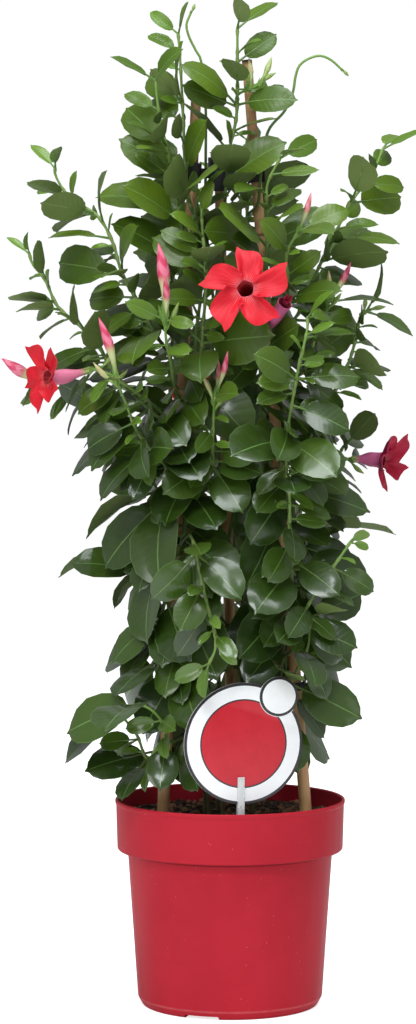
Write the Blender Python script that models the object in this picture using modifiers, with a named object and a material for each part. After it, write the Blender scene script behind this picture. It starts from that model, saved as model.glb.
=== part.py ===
# A climbing mandevilla trained up three bamboo canes in a red nursery pot.
# Metres, +Z up. The origin is the centre of the pot's underside; the front is -Y.
# Routes, feet and centres are written in millimetres and scaled once, by MM.

import math
import random

import bmesh
import bpy
from mathutils import Matrix, Vector, kdtree, noise
from mathutils.bvhtree import BVHTree

MM = 0.001
UP = Vector((0.0, 0.0, 1.0))
GAP = 0.0003

# Pot: a turned plastic shell with a deep collar, a foot ring and a centre pad.
POT_HEIGHT = 0.1525
RIM_RADIUS = 0.0850
LIP_HEIGHT = 0.0030
COLLAR_TOP_RADIUS = 0.0843
COLLAR_RADIUS = 0.0834
COLLAR_DEPTH = 0.0365
BODY_TOP_RADIUS = 0.0757
BODY_FOOT_RADIUS = 0.0682
FOOT_LINE = 0.0060
FOOT_RADIUS = 0.0646
FOOT_WIDTH = 0.0066
WALL = 0.0016
FLOOR_LIFT = 0.0032
PAD_RADIUS = 0.0220
POT_SEGMENTS = 28
DRAIN_HOLES = 6
DRAIN_RADIUS = 0.0035
DRAIN_CIRCLE = 0.0400
NOTCHES = 3
NOTCH_WIDTH = 0.0260
NOTCH_HEIGHT = 0.0024
NOTCH_FIRST_ANGLE = math.radians(251)

# Soil: fills the pot to a little under the rim.
SOIL_LEVEL = 0.1400
SOIL_ROUGHNESS = 0.0022
SOIL_SEGMENTS = 16
SOIL_RINGS = 2
ROOT_DEPTH = 0.0180

# Canes: three bamboo sticks that lean together. Feet and tops in millimetres.
CANE_RADIUS = 0.0045
CANE_TOP_RADIUS = 0.0037
CANE_SIDES = 8
CANE_JOINT_PITCH = 0.170
CANE_JOINT_SWELL = 0.0005
CANE_FEET = {"left": (-51.5, -32, 95), "right": (59.2, -32.1, 95), "back": (4, 63.5, 95)}
CANE_TOPS = {"left": (-24, -10, 687), "right": (12, -8, 694), "back": (-8, 0, 617)}

# Spreader: the black piece near the top, a cup on the back cane with a clip for each front cane.
SPREADER_LEVEL = 0.612
CUP_RADIUS = 0.0082
CUP_HEIGHT = 0.0240
CUP_ROOF = 0.0030
CLIP_WALL = 0.0018
CLIP_HEIGHT = 0.0140
CLIP_OPENING = 0.0052
ARM_WIDTH = 0.0044
ARM_HEIGHT = 0.0070

# Ties: small black C-shaped bands on the canes, by cane and height in millimetres.
TIES = {"tie_left": ("left", 345), "tie_right": ("right", 238)}
TIE_WALL = 0.0014
TIE_HEIGHT = 0.0060

# Label: a blank round card with a small round tab, held by the fork of a clear stake.
LABEL_CENTRE = (9, -72, 202)
LABEL_RADIUS = 0.0438
LABEL_THICKNESS = 0.0016
LABEL_TURN = math.radians(14)
LABEL_SEGMENTS = 26
TAB_PLACE = (0.0262, 0.0332)
TAB_RADIUS = 0.0142
STAKE_PLACE = -0.0020
STAKE_WIDTH = 0.0052
STAKE_THICKNESS = 0.0046
STAKE_TOP = 0.1780
STAKE_FOOT = 0.1215

# Stems.
STEM_RADIUS = 0.0015
TWIG_RADIUS = 0.0011
STEM_SPACE = 0.0012
STEM_SIDES_LEVEL = 0
ROUTE_STEP = 0.0030
TUBE_SLACK = 0.0007
PUSH_ROUNDS = 30
WIND_RADIUS = 0.0098
FOOT_CENTRE = (0, 6)
FOOT_RING = 0.0185
CLIMB_FOOT = 0.150
CLIMB_LEVEL = 0.268

# Main stems: the cane each one climbs, the angle of its foot round the pot's middle, the angle
# round the cane where it arrives, its turns, its height and the height of its first leaves.
VINES = {
    "vine_left_a": ("left", 252, 318, 0.95, 596, 206),
    "vine_left_b": ("left", 212, 78, 0.85, 540, 236),
    "vine_left_c": ("left", 172, 198, 0.70, 470, 214),
    "vine_right_a": ("right", 292, 222, 0.95, 590, 250),
    "vine_right_b": ("right", 12, 342, 0.85, 548, 262),
    "vine_right_c": ("right", 332, 102, 0.75, 470, 222),
    "vine_back_a": ("back", 60, 350, 0.9, 590, 205),
    "vine_back_b": ("back", 120, 190, 0.8, 520, 230),
}

# Side shoots: a route in millimetres, the leaf length at its foot and at its tip, the space
# between leaf pairs and the angle of the first pair. Each springs from the nearest main stem.
SHOOTS = {
    "crown": ([(-4, -20, 592), (-2, -22, 612), (0, -20, 632), (4, -18, 650), (5, -18, 669),
               (5, -18, 690), (5, -18, 704), (5, -18, 717)], 44, 26, 22, 90),
    "crown_back": ([(6, 8, 570), (8, 14, 596), (10, 12, 624), (16, 10, 650), (20, 10, 664)], 42, 24, 26, 0),
    "crown_buds": ([(5, -18, 668), (14, -24, 672), (21, -28, 675)], 0, 0, 0, 0),
    "crown_left": ([(-30, -22, 592), (-33, -23, 618), (-34, -22, 643), (-35, -20, 666), (-36, -20, 685),
                    (-37, -20, 701), (-38, -20, 713)], 40, 20, 22, 0),
    "top_left": ([(-34, -24, 566), (-39, -28, 592), (-43, -31, 615), (-47, -33, 633), (-51, -34, 651),
                  (-53, -35, 665), (-54, -36, 678)], 48, 24, 22, 0),
    "whip": ([(-16, 8, 560), (-18, 13, 590), (-18, 10, 624), (-18, 2, 660), (-21, -4, 692), (-25, -4, 701),
              (-30, -4, 711), (-32, -4, 720), (-29, -4, 728)], 0, 0, 0, 0),
    "tendril": ([(20, -22, 590), (22, -24, 612), (27, -22, 641), (39, -22, 656), (45, -22, 669), (47, -24, 681),
                 (50, -24, 689), (57, -24, 694), (65, -22, 696), (73, -20, 693), (80, -18, 687)], 0, 0, 0, 0),
    "wand_left": ([(-51, -34, 490), (-65, -40, 515), (-78, -42, 538), (-85, -40, 561), (-96, -36, 580),
                   (-115, -30, 592), (-126, -26, 608), (-127, -26, 616)], 44, 20, 24, 60),
    "far_left": ([(-58, -40, 440), (-80, -46, 462), (-94, -44, 484), (-107, -40, 499), (-125, -34, 515),
                  (-134, -30, 534), (-143, -28, 545), (-146, -28, 554)], 44, 16, 22, 40),
    "bloom_left_stalk": ([(-51, -46, 440), (-66, -60, 452), (-80, -66, 462), (-90, -66, 468), (-99, -63, 470)],
                         40, 28, 30, 90),
    "bud_left_stalk": ([(-58, -28, 418), (-80, -26, 436), (-98, -20, 446), (-116, -16, 452), (-132, -16, 458)],
                       38, 26, 30, 0),
    "bud_front_stalk": ([(-40, -44, 455), (-43, -60, 474), (-46, -70, 490), (-47, -75, 506)], 34, 24, 30, 0),
    "bud_low_stalk": ([(-50, -46, 404), (-66, -64, 424), (-74, -74, 444), (-81, -78, 461)], 40, 28, 28, 20),
    "arch": ([(-22, -34, 470), (-20, -46, 500), (-18, -52, 523), (-18, -54, 547), (-20, -52, 566),
              (-21, -50, 585), (-22, -48, 596)], 46, 18, 24, 0),
    "centre_buds": ([(-14, -34, 395), (-13, -52, 418), (-12, -62, 440), (-11, -66, 452)], 40, 26, 28, 30),
    "upper_right": ([(24, -26, 530), (26, -34, 556), (26, -38, 583), (26, -40, 600), (30, -42, 611),
                     (36, -44, 622)], 46, 24, 24, 0),
    "wand_right": ([(46, -20, 505), (58, -24, 530), (70, -26, 556), (82, -24, 580), (90, -22, 594),
                    (98, -20, 604), (106, -18, 618), (111, -16, 630)], 46, 24, 24, 30),
    "buds_right": ([(38, -34, 510), (41, -50, 531), (40, -58, 552), (48, -62, 568)], 42, 30, 26, 0),
    "buds_far_right": ([(54, -30, 470), (60, -42, 490), (66, -46, 506), (71, -46, 519)], 44, 30, 26, 0),
    "tip_right": ([(58, -20, 420), (72, -24, 446), (85, -24, 472), (91, -22, 491), (94, -20, 506),
                   (100, -18, 512)], 46, 28, 24, 10),
    "spray": ([(40, -40, 376), (40, -62, 398), (40, -78, 423), (43, -86, 445), (47, -88, 468), (51, -88, 485),
               (54, -86, 499), (54, -84, 507)], 46, 24, 24, 30),
    "low_spray": ([(42, -40, 300), (44, -56, 325), (42, -66, 350), (42, -74, 376), (40, -80, 396)], 46, 32, 26, 0),
    "bloom_right_stalk": ([(48, -28, 378), (60, -20, 392), (71, -10, 400), (80, -4, 403), (88, 0, 403)],
                          44, 30, 30, 90),
    "whip_right": ([(46, -44, 268), (48, -58, 284), (55, -66, 300), (66, -70, 318), (77, -70, 334),
                    (86, -68, 347)], 34, 16, 26, 0),
    "whip_centre": ([(-30, -50, 350), (-26, -70, 344), (-22, -80, 326), (-17, -84, 303), (-12, -86, 285),
                     (-11, -86, 272), (-16, -84, 260)], 36, 20, 28, 0),
    "low_left": ([(-44, -46, 200), (-48, -54, 213), (-56, -60, 224), (-66, -62, 230)], 50, 46, 30, 90),
    "low_left_out": ([(-58, -36, 186), (-68, -40, 204), (-80, -42, 220)], 50, 46, 30, 0),
    "low_right": ([(36, -34, 225), (47, -44, 250), (56, -50, 270), (58, -52, 292)], 44, 32, 26, 0),
    "main_bloom_stalk": ([(6, -30, 480), (12, -44, 500), (15, -54, 511), (16, -60, 517)], 36, 0, 24, 0),
    "half_bloom_stalk": ([(24, -34, 468), (24, -50, 484), (24, -62, 494)], 36, 0, 24, 0),
    "side_right_low": ([(56, -8, 300), (60, 0, 322), (64, 6, 340), (66, 10, 352)], 50, 40, 30, 0),
    "side_right_mid": ([(52, 6, 350), (66, 12, 376), (76, 16, 396), (84, 18, 412)], 48, 34, 28, 20),
    "side_left_low": ([(-52, -10, 262), (-57, -4, 288), (-60, 0, 308), (-62, 4, 322)], 50, 40, 30, 10),
    "side_left_mid": ([(-48, 6, 372), (-62, 12, 394), (-76, 14, 410), (-86, 14, 424)], 48, 34, 28, 0),
    "back_low": ([(2, 64, 262), (0, 80, 286), (-6, 90, 308), (-8, 94, 322)], 50, 40, 32, 0),
    "back_right": ([(22, 50, 330), (38, 64, 356), (48, 74, 378), (50, 74, 396)], 46, 30, 30, 0),
    "back_left": ([(-16, 48, 380), (-34, 62, 404), (-46, 72, 426), (-50, 78, 444)], 46, 30, 30, 0),
    "bloom_back_stalk": ([(-6, 42, 404), (-16, 56, 420), (-22, 68, 430), (-25, 76, 434)], 38, 28, 30, 0),
    "back_crown": ([(-12, 24, 520), (-16, 38, 548), (-18, 44, 574), (-18, 46, 594)], 46, 24, 28, 0),
    "back_left_low": ([(-46, 10, 300), (-62, 30, 316), (-74, 44, 328), (-80, 52, 333)], 50, 38, 30, 0),
}

# Buds: the shoot each stands on, its length and radius in millimetres, its lean from the shoot's
# end in degrees, and the side it leans to.
BUDS = (
    ("crown_buds", 24, 2.2, 62, 90), ("crown_buds", 19, 1.9, 38, 60), ("crown_buds", 26, 2.2, 85, 100),
    ("crown_buds", 15, 1.7, 50, 150), ("bud_front_stalk", 54, 4.6, 12, 100), ("bud_front_stalk", 40, 2.6, 14, 280),
    ("bud_front_stalk", 22, 2.0, 30, 20), ("bud_left_stalk", 40, 4.4, 8, 0), ("bud_left_stalk", 16, 1.8, 40, 90),
    ("bud_low_stalk", 48, 3.6, 12, 60), ("bud_low_stalk", 26, 2.0, 24, 170), ("bloom_left_stalk", 22, 1.9, 80, 90),
    ("bloom_left_stalk", 18, 1.7, 110, 40), ("centre_buds", 34, 2.2, 10, 0), ("centre_buds", 30, 2.0, 22, 90),
    ("centre_buds", 26, 1.9, 26, 200), ("centre_buds", 20, 1.7, 40, 300), ("buds_right", 30, 2.3, 20, 120),
    ("buds_right", 20, 1.8, 40, 30), ("buds_far_right", 34, 2.6, 16, 60), ("buds_far_right", 26, 2.1, 20, 200),
    ("buds_far_right", 20, 1.8, 36, 300), ("tip_right", 17, 1.9, 30, 60), ("tip_right", 14, 1.7, 44, 200),
    ("tip_right", 12, 1.6, 60, 120), ("whip_right", 12, 1.5, 24, 60), ("bloom_back_stalk", 26, 2.1, 50, 90),
    ("bloom_back_stalk", 20, 1.8, 70, 30), ("main_bloom_stalk", 22, 1.9, 70, 200),
    ("bloom_right_stalk", 20, 1.8, 80, 120),
)
BUD_ROWS = ((0.0, 0.42), (0.58, 1.0))
BUD_SIDES = 4

# Flowers: the stalk each stands on, the centre of its face and the way it faces, its radius
# in millimetres and how far its petals open, 1 being flat.
BLOOMS = {
    "bloom_main": ("main_bloom_stalk", (10, -100, 527), (-0.14, -0.95, 0.24), 32.5, 1.0),
    "bloom_left": ("bloom_left_stalk", (-131, -62, 464), (-0.78, -0.62, 0.04), 31, 0.78),
    "bloom_right": ("bloom_right_stalk", (112, 1, 402), (0.86, -0.49, -0.12), 31, 0.68),
    "bloom_half": ("half_bloom_stalk", (38, -86, 517), (0.42, -0.62, 0.62), 11, 0.12),
    "bloom_back": ("bloom_back_stalk", (-30, 106, 440), (-0.14, 0.96, 0.22), 31, 1.0),
}
PETALS = 5
PETAL_STEPS = 3
PETAL_OUTLINE = (0.55, 0.92, 1.0)
THROAT_RADIUS = 0.0072
TUBE_FOOT_RADIUS = 0.0019
TUBE_BEND = 0.45
PETAL_TURN = math.radians(20)
CALYX_LENGTH = 0.0050
CALYX_RADIUS = 0.0026

# Leaves.
BLADE_THICKNESS = 0.0008
STALK_SHARE = 0.5
LEAF_SPACE = 0.0004
GUARD_SPACE = 0.0007
MAIN_LENGTH_LOW = 0.060
MAIN_LENGTH_HIGH = 0.052
MAIN_PITCH_LOW = 0.046
MAIN_PITCH_HIGH = 0.044
BACK_PITCH = 1.2
FIRST_PAIR = 0.6
SHOOT_GROWTH = 1.16
SHOOT_PITCH = 1.75
FRONT_LIGHT = 0.55
HANG_BELOW = 0.38
HANG_ABOVE = 0.60
LARGE_LEAF = 0.061
SMALL_LEAF = 0.035
LEAF_ROWS = {"large": (0.30, 0.68), "middle": (0.28, 0.68), "small": (0.46,)}
BEND_TRIES = 64
LOWEST_LEAF = 0.1585

# Tidying of fused meshes.
MERGE_DISTANCE = 0.000002
FLAT_ANGLES = [math.radians(angle) for angle in (2.0, 1.6, 1.3, 1.0, 0.7, 0.4, 0.2, 0.1)]


def smooth_step(low, high, value):
    share = min(1.0, max(0.0, (value - low) / (high - low)))
    return share * share * (3 - 2 * share)


def smooth_route(points):
    """A smooth line through points in millimetres, read at even steps, in metres."""
    marks = [Vector(point) * MM for point in points]
    marks = [marks[0] * 2 - marks[1]] + marks + [marks[-1] * 2 - marks[-2]]
    line = []
    for a, b, c, d in zip(marks, marks[1:], marks[2:], marks[3:]):
        count = max(1, round((c - b).length / ROUTE_STEP))
        for i in range(count):
            t = i / count
            bow = (2 * a - 5 * b + 4 * c - d) * t * t + (3 * b - a - 3 * c + d) * t**3
            line.append((2 * b + (c - a) * t + bow) * 0.5)
    line.append(marks[-2])
    return line


def at_distance(line, distance):
    """The point and direction of a line at a distance from its foot."""
    for a, b in zip(line, line[1:]):
        step = (b - a).length
        if distance <= step:
            return a.lerp(b, distance / step), (b - a).normalized()
        distance -= step
    return line[-1].copy(), (line[-1] - line[-2]).normalized()


def thin_line(line, slack):
    """The fewest of a line's points that keep within slack of it."""
    a = line[0]
    b = line[-1]
    axis = b - a
    worst = 0.0
    place = 0
    for i in range(1, len(line) - 1):
        share = min(1.0, max(0.0, (line[i] - a).dot(axis) / max(axis.length_squared, 1e-12)))
        off = (line[i] - a.lerp(b, share)).length
        if off > worst:
            worst = off
            place = i
    if worst <= slack:
        return [a, b]
    return thin_line(line[: place + 1], slack)[:-1] + thin_line(line[place:], slack)


def line_length(line):
    return sum((b - a).length for a, b in zip(line, line[1:]))


def cane_point(cane, height):
    foot = Vector(CANE_FEET[cane]) * MM
    top = Vector(CANE_TOPS[cane]) * MM
    return foot.lerp(top, (height - foot.z) / (top.z - foot.z))


def vine_route(cane, foot_angle, start, turns, top):
    """A main stem: out of the soil near the pot's middle, over to its cane and round it to its top."""
    points = []
    low = SOIL_LEVEL - ROOT_DEPTH
    count = 20
    foot = Vector((*FOOT_CENTRE, 0)) * MM
    foot += Vector((math.cos(math.radians(foot_angle)), math.sin(math.radians(foot_angle)), 0)) * FOOT_RING
    for i in range(count + 1):
        height = low + (top * MM - low) * i / count
        climbed = max(0.0, height - CLIMB_LEVEL) / (top * MM - CLIMB_LEVEL)
        turn = math.radians(start) + turns * 2 * math.pi * climbed
        reach = WIND_RADIUS + 0.0012 * math.sin(5 * turn)
        wound = cane_point(cane, height) + Vector((math.cos(turn), math.sin(turn), 0)) * reach
        share = smooth_step(CLIMB_FOOT, CLIMB_LEVEL, height)
        level = foot.lerp(Vector((wound.x, wound.y, 0)), share)
        points.append(Vector((level.x, level.y, height)) / MM)
    return smooth_route(points)


def capsules():
    """The rigid things that stems grow round: two ends and a radius each."""
    found = []
    widest = CANE_RADIUS + CANE_JOINT_SWELL
    for cane in CANE_FEET:
        found.append((Vector(CANE_FEET[cane]) * MM, Vector(CANE_TOPS[cane]) * MM, widest))
    cup = cane_point("back", SPREADER_LEVEL)
    found.append((cup - UP * CUP_HEIGHT / 2, cup + UP * CUP_HEIGHT / 2, CUP_RADIUS))
    for cane in ("left", "right"):
        ring = cane_point(cane, SPREADER_LEVEL)
        found.append((cup, ring, ARM_HEIGHT / 2))
        half = UP * CLIP_HEIGHT / 2
        found.append((ring - half, ring + half, CANE_RADIUS + GAP + CLIP_WALL))
    for cane, height in TIES.values():
        ring = cane_point(cane, height * MM)
        half = UP * TIE_HEIGHT / 2
        found.append((ring - half, ring + half, widest + TIE_WALL))
    return found


def push_out(point, capsule, need):
    """How far to move a point so that it clears a capsule."""
    a, b, radius = capsule
    share = min(1.0, max(0.0, (point - a).dot(b - a) / (b - a).length_squared))
    away = point - a.lerp(b, share)
    short = radius + need - away.length
    if short <= 0:
        return Vector()
    return away.normalized() * short


def grow_stems():
    """Every stem as a record: its name, its vine, its line and its radius at foot and tip."""
    stems = []
    for name, (cane, foot_angle, start, turns, top, _) in VINES.items():
        line = vine_route(cane, foot_angle, start, turns, top)
        stems.append({"name": name, "vine": name, "line": line, "foot": STEM_RADIUS, "tip": TWIG_RADIUS})
    mains = list(stems)
    by_name = {}
    for name, (points, *_) in SHOOTS.items():
        first = Vector(points[0]) * MM
        if name == "crown_buds":
            parent = by_name["crown"]
        else:
            parent = min(mains, key=lambda stem: min((p + UP * 0.010 - first).length for p in stem["line"]))
        root = min(parent["line"], key=lambda p: (p + UP * 0.010 - first).length)
        line = smooth_route([root / MM] + points)
        stem = {"name": name, "vine": parent["vine"], "line": line}
        stem["foot"] = TWIG_RADIUS + 0.0001
        stem["tip"] = TWIG_RADIUS * 0.8
        if name == "crown_buds":
            stem["pinned"] = True
        by_name[name] = stem
        stems.append(stem)
    push_apart(stems)
    return stems


def push_apart(stems):
    """Bends stems clear of the canes and of other vines, main stems only where they lean over to a cane."""
    rigid = capsules()
    shifts = [[Vector() for _ in stem["line"]] for stem in stems]
    rest = [[p.copy() for p in stem["line"]] for stem in stems]
    need = 2 * STEM_RADIUS + STEM_SPACE
    for _ in range(PUSH_ROUNDS):
        tree = kdtree.KDTree(sum(len(line) for line in rest))
        owners = []
        for s, stem in enumerate(stems):
            for i in range(len(rest[s])):
                tree.insert(rest[s][i] + shifts[s][i], len(owners))
                owners.append((s, i))
        tree.balance()
        for s, stem in enumerate(stems):
            if "pinned" in stem:
                continue
            main = stem["name"] in VINES
            for i in range(4, len(rest[s])):
                here = rest[s][i] + shifts[s][i]
                if main and not SOIL_LEVEL + 0.012 < here.z < CLIMB_LEVEL + 0.03:
                    continue
                push = Vector()
                for capsule in rigid:
                    push += push_out(here, capsule, STEM_RADIUS + STEM_SPACE)
                for there, index, distance in tree.find_range(here, need):
                    if stems[owners[index][0]]["vine"] != stem["vine"] and distance > 1e-7:
                        push += (here - there).normalized() * (need - distance) * 0.5
                shifts[s][i] += push
        for s, stem in enumerate(stems):
            moved = shifts[s]
            for i in range(1, len(moved) - 1):
                moved[i] = moved[i] * 0.6 + (moved[i - 1] + moved[i + 1]) * 0.2
    for s, stem in enumerate(stems):
        stem["line"] = [p + d for p, d in zip(rest[s], shifts[s])]
    ends = {stem["name"]: stem for stem in stems}
    buds = ends["crown_buds"]["line"]
    nearest = min(ends["crown"]["line"], key=lambda p: (p - buds[0]).length)
    drift = nearest - buds[0]
    ends["crown_buds"]["line"] = [p + drift for p in buds]
    for stem in stems:
        if stem["name"] not in VINES and "pinned" not in stem:
            parent = ends[stem["vine"]]["line"]
            root = min(parent, key=lambda p: (p - stem["line"][0]).length)
            drift = root - stem["line"][0]
            for i in range(6):
                stem["line"][i] = stem["line"][i] + drift * (1 - i / 6)


def stem_radius(stem, share):
    return stem["foot"] + (stem["tip"] - stem["foot"]) * share


def tube_guard(points, radii, sides=6):
    """A search tree of a closed tube, which leaves keep clear of."""
    verts = []
    faces = []
    side = None
    last = len(points) - 1
    for i, point in enumerate(points):
        ahead = (points[min(i + 1, last)] - points[max(i - 1, 0)]).normalized()
        if side is None:
            side = ahead.orthogonal().normalized()
        side = (side - ahead * side.dot(ahead)).normalized()
        other = ahead.cross(side)
        for k in range(sides):
            turn = 2 * math.pi * k / sides
            verts.append(point + (side * math.cos(turn) + other * math.sin(turn)) * radii[i])
    for i in range(last):
        for k in range(sides):
            a = i * sides + k
            b = i * sides + (k + 1) % sides
            faces.append((a, b, b + sides, a + sides))
    faces.append(tuple(range(sides)))
    faces.append(tuple(range(last * sides, last * sides + sides)))
    return guard(verts, faces)


def guard(verts, faces):
    """A search tree with the sphere that holds it."""
    middle = sum(verts, Vector()) / len(verts)
    reach = max((v - middle).length for v in verts)
    return middle, reach, BVHTree.FromPolygons(verts, faces)


def blade_half_width(t):
    return (4 * t * (1 - t)) ** 0.6 * (1 - 0.6 * smooth_step(0.82, 0.97, t))


def blade_point(leaf, t, u):
    """The point of a blade at t from base to tip and u from midrib to edge, with its normal."""
    turn = leaf["bend"] * t
    bow = leaf["length"] / leaf["bend"]
    along = leaf["ahead"] * (math.sin(turn) * bow) - leaf["up"] * ((1 - math.cos(turn)) * bow)
    normal = leaf["up"] * math.cos(turn) + leaf["ahead"] * math.sin(turn)
    half = leaf["half"] * blade_half_width(t)
    lift = half * (leaf["fold"] * abs(u) - leaf["curl"] * u * u)
    return leaf["base"] + along + leaf["side"] * (u * half) + normal * lift, normal


def leaf_guard(leaf):
    """A search tree of the leaf with some room round it, from half way along its stalk."""
    up = leaf["up"]
    start = leaf["root"].lerp(leaf["base"], max(0.5, min(0.9, 0.0024 / leaf["stalk"])))
    rows = [[start - leaf["side"] * 0.001, start, start + leaf["side"] * 0.001]]
    lifts = [up]
    for t in (0.03, 0.2, 0.4, 0.6, 0.8, 0.985):
        widen = 1 + GUARD_SPACE * 2 / (leaf["half"] * blade_half_width(t))
        rows.append([blade_point(leaf, t, u)[0] for u in (-widen, 0, widen)])
        lifts.append(blade_point(leaf, t, 0)[1])
    thick = BLADE_THICKNESS / 2 + GUARD_SPACE
    verts = []
    for row, lift in zip(rows, lifts):
        verts += [p + lift * thick for p in row] + [p - lift * thick for p in row]
    faces = [(0, 1, 4, 3), (1, 2, 5, 4)]
    for i in range(len(rows) - 1):
        a = i * 6
        b = a + 6
        faces += [(a, a + 1, b + 1, b), (a + 1, a + 2, b + 2, b + 1)]
        faces += [(a + 3, a + 4, b + 4, b + 3), (a + 4, a + 5, b + 5, b + 4)]
        faces += [(a, b, b + 3, a + 3), (a + 2, b + 2, b + 5, a + 5)]
    end = len(verts) - 6
    faces += [(end, end + 1, end + 4, end + 3), (end + 1, end + 2, end + 5, end + 4)]
    return guard(verts, faces)


def clear_of(candidate, obstacles):
    middle, reach, tree = candidate
    for other_middle, other_reach, other_tree in obstacles:
        if (middle - other_middle).length < reach + other_reach and tree.overlap(other_tree):
            return False
    return True


def outward(point):
    """Away from the middle of the plant, level."""
    away = Vector((point.x + 0.004, point.y + 0.002, 0))
    if away.length < 0.004:
        return Vector((0, -1, 0))
    return away.normalized()


def turned_out(radial, tangent, out):
    """Turns a leaf that would point into the plant round to the side that it is nearer to."""
    inward = max(0.0, 0.25 - radial.dot(out))
    across = tangent.cross(out).normalized()
    if radial.dot(across) < 0:
        across = -across
    return (radial + across * (inward * 1.1) + out * (inward * 0.75)).normalized()


def leaf_at(node, tangent, radial, length, upright, rng):
    """A leaf as it would like to grow: out of its stem, up to the light or hanging."""
    out = outward(node)
    hang = 1 - smooth_step(HANG_BELOW, HANG_ABOVE, node.z)
    hang *= 1 - upright
    radial = turned_out(radial, tangent, out)
    up_share = 0.75 - 0.75 * hang
    young = 1 - smooth_step(0.012, 0.034, length)
    up_share += 0.7 * young
    ahead = radial * (1 - 0.25 * hang) + tangent * up_share - UP * (1.05 * hang) + out * (0.15 + 0.30 * hang)
    ahead = ahead.normalized()
    front = Vector((0, -FRONT_LIGHT, 0)) * (1 - smooth_step(-0.01, 0.05, node.y))
    light = (out * 0.95 + front + UP * 0.6) * (0.55 + 0.7 * hang) + tangent * (1.1 - hang) * 0.6
    side = ahead.cross(light).normalized()
    up = side.cross(ahead).normalized()
    sway = 16 + 24 * (1 - hang)
    roll = Matrix.Rotation(math.radians(rng.uniform(-sway, sway)), 3, ahead)
    ratio = rng.uniform(1.34, 1.52) + 0.22 * smooth_step(0.42, 0.56, node.z) + 0.30 * young
    stalk = 0.0035 + 0.0070 * smooth_step(0.015, 0.045, length)
    leaf = {"root": node, "ahead": ahead, "side": roll @ side, "up": roll @ up, "length": length}
    leaf["half"] = length / ratio / 2
    leaf["stalk"] = stalk * rng.uniform(0.85, 1.15)
    leaf["bend"] = math.radians(rng.uniform(10, 42))
    leaf["fold"] = rng.uniform(0.10, 0.34) + 0.25 * young
    leaf["curl"] = rng.uniform(0.0, 0.26)
    leaf["young"] = young
    leaf["base"] = node + ahead * leaf["stalk"]
    return leaf


def bend_clear(leaf, obstacles):
    """Turns a leaf a little further each try until it crosses nothing, or gives it up."""
    first = dict(leaf)
    for k in range(BEND_TRIES):
        swing = math.radians(5.5) * math.sqrt(k)
        yaw = Matrix.Rotation(swing * math.cos(2.4 * k), 3, first["up"])
        pitch = Matrix.Rotation(swing * math.sin(2.4 * k), 3, first["side"])
        turn = yaw @ pitch
        for axis in ("ahead", "side", "up"):
            leaf[axis] = turn @ first[axis]
        shrink = 1 - 0.0045 * k
        leaf["length"] = first["length"] * shrink
        leaf["half"] = first["half"] * shrink
        leaf["base"] = leaf["root"] + leaf["ahead"] * leaf["stalk"]
        lowest = min(blade_point(leaf, t, u)[0].z for t in (0, 0.5, 0.85, 1) for u in (-1, 1))
        if lowest < LOWEST_LEAF:
            continue
        found = leaf_guard(leaf)
        if clear_of(found, obstacles):
            return found
    return None


def pair_direction(tangent, angle):
    """A direction square to a stem: angle 0 lies across the front, 90 towards it."""
    across = Vector((1, 0, 0)) - tangent * tangent.x
    if across.length < 0.5:
        across = UP - tangent * tangent.z
    across.normalize()
    return Matrix.Rotation(math.radians(angle), 3, tangent) @ across


def grow_leaves(stems, obstacles):
    """Opposite leaf pairs up every stem, each pair turned a right angle from the last."""
    leaves = []
    shoots = [stem for stem in stems if stem["name"] in SHOOTS]
    mains = [stem for stem in stems if stem["name"] in VINES]
    for stem in shoots + mains:
        rng = random.Random(stem["name"])
        whole = line_length(stem["line"])
        places = []
        if stem["name"] in SHOOTS:
            _, foot_length, tip_length, pitch, angle = SHOOTS[stem["name"]]
            if foot_length == 0:
                continue
            count = max(1, round((whole - 0.014) / (pitch * SHOOT_PITCH * MM)))
            for i in range(count):
                share = (i + FIRST_PAIR) / (count - 1 + FIRST_PAIR)
                distance = whole * share if tip_length else whole * (0.2 + 0.5 * share)
                size = foot_length + ((tip_length or foot_length) - foot_length) * share**2
                size *= SHOOT_GROWTH * MM
                places.append((min(distance, whole - 0.001), size, angle, 0.35 + 0.4 * share))
                angle += 90 + rng.uniform(-16, 16)
        else:
            first_leaf = VINES[stem["name"]][5] * MM
            angle = rng.uniform(0, 180)
            distance = 0.0
            while distance < whole - 0.006:
                point, _ = at_distance(stem["line"], distance)
                rise = smooth_step(0.40, 0.60, point.z)
                if point.z >= first_leaf:
                    size = MAIN_LENGTH_LOW + (MAIN_LENGTH_HIGH - MAIN_LENGTH_LOW) * rise
                    places.append((distance, size, angle, 0.0))
                    angle += 90 + rng.uniform(-20, 20)
                    pitch = MAIN_PITCH_LOW + (MAIN_PITCH_HIGH - MAIN_PITCH_LOW) * rise
                    distance += pitch * (BACK_PITCH if VINES[stem["name"]][0] == "back" else 1)
                else:
                    distance += ROUTE_STEP
            places.append((whole - 0.002, 0.026, angle, 0.5))
        for distance, size, angle, upright in places:
            node, tangent = at_distance(stem["line"], distance)
            across = pair_direction(tangent, angle)
            for turn in (1, -1):
                length = size * rng.uniform(0.88, 1.10)
                radial = across * turn
                leaf = leaf_at(node + radial * 0.0002, tangent, radial, length, upright, rng)
                leaf["vine"] = stem["vine"]
                leaf["stem"] = stem["name"]
                leaf["thick"] = stem_radius(stem, distance / whole)
                found = bend_clear(leaf, obstacles)
                if found:
                    obstacles.append(found)
                    leaves.append(leaf)
    return leaves


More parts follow.
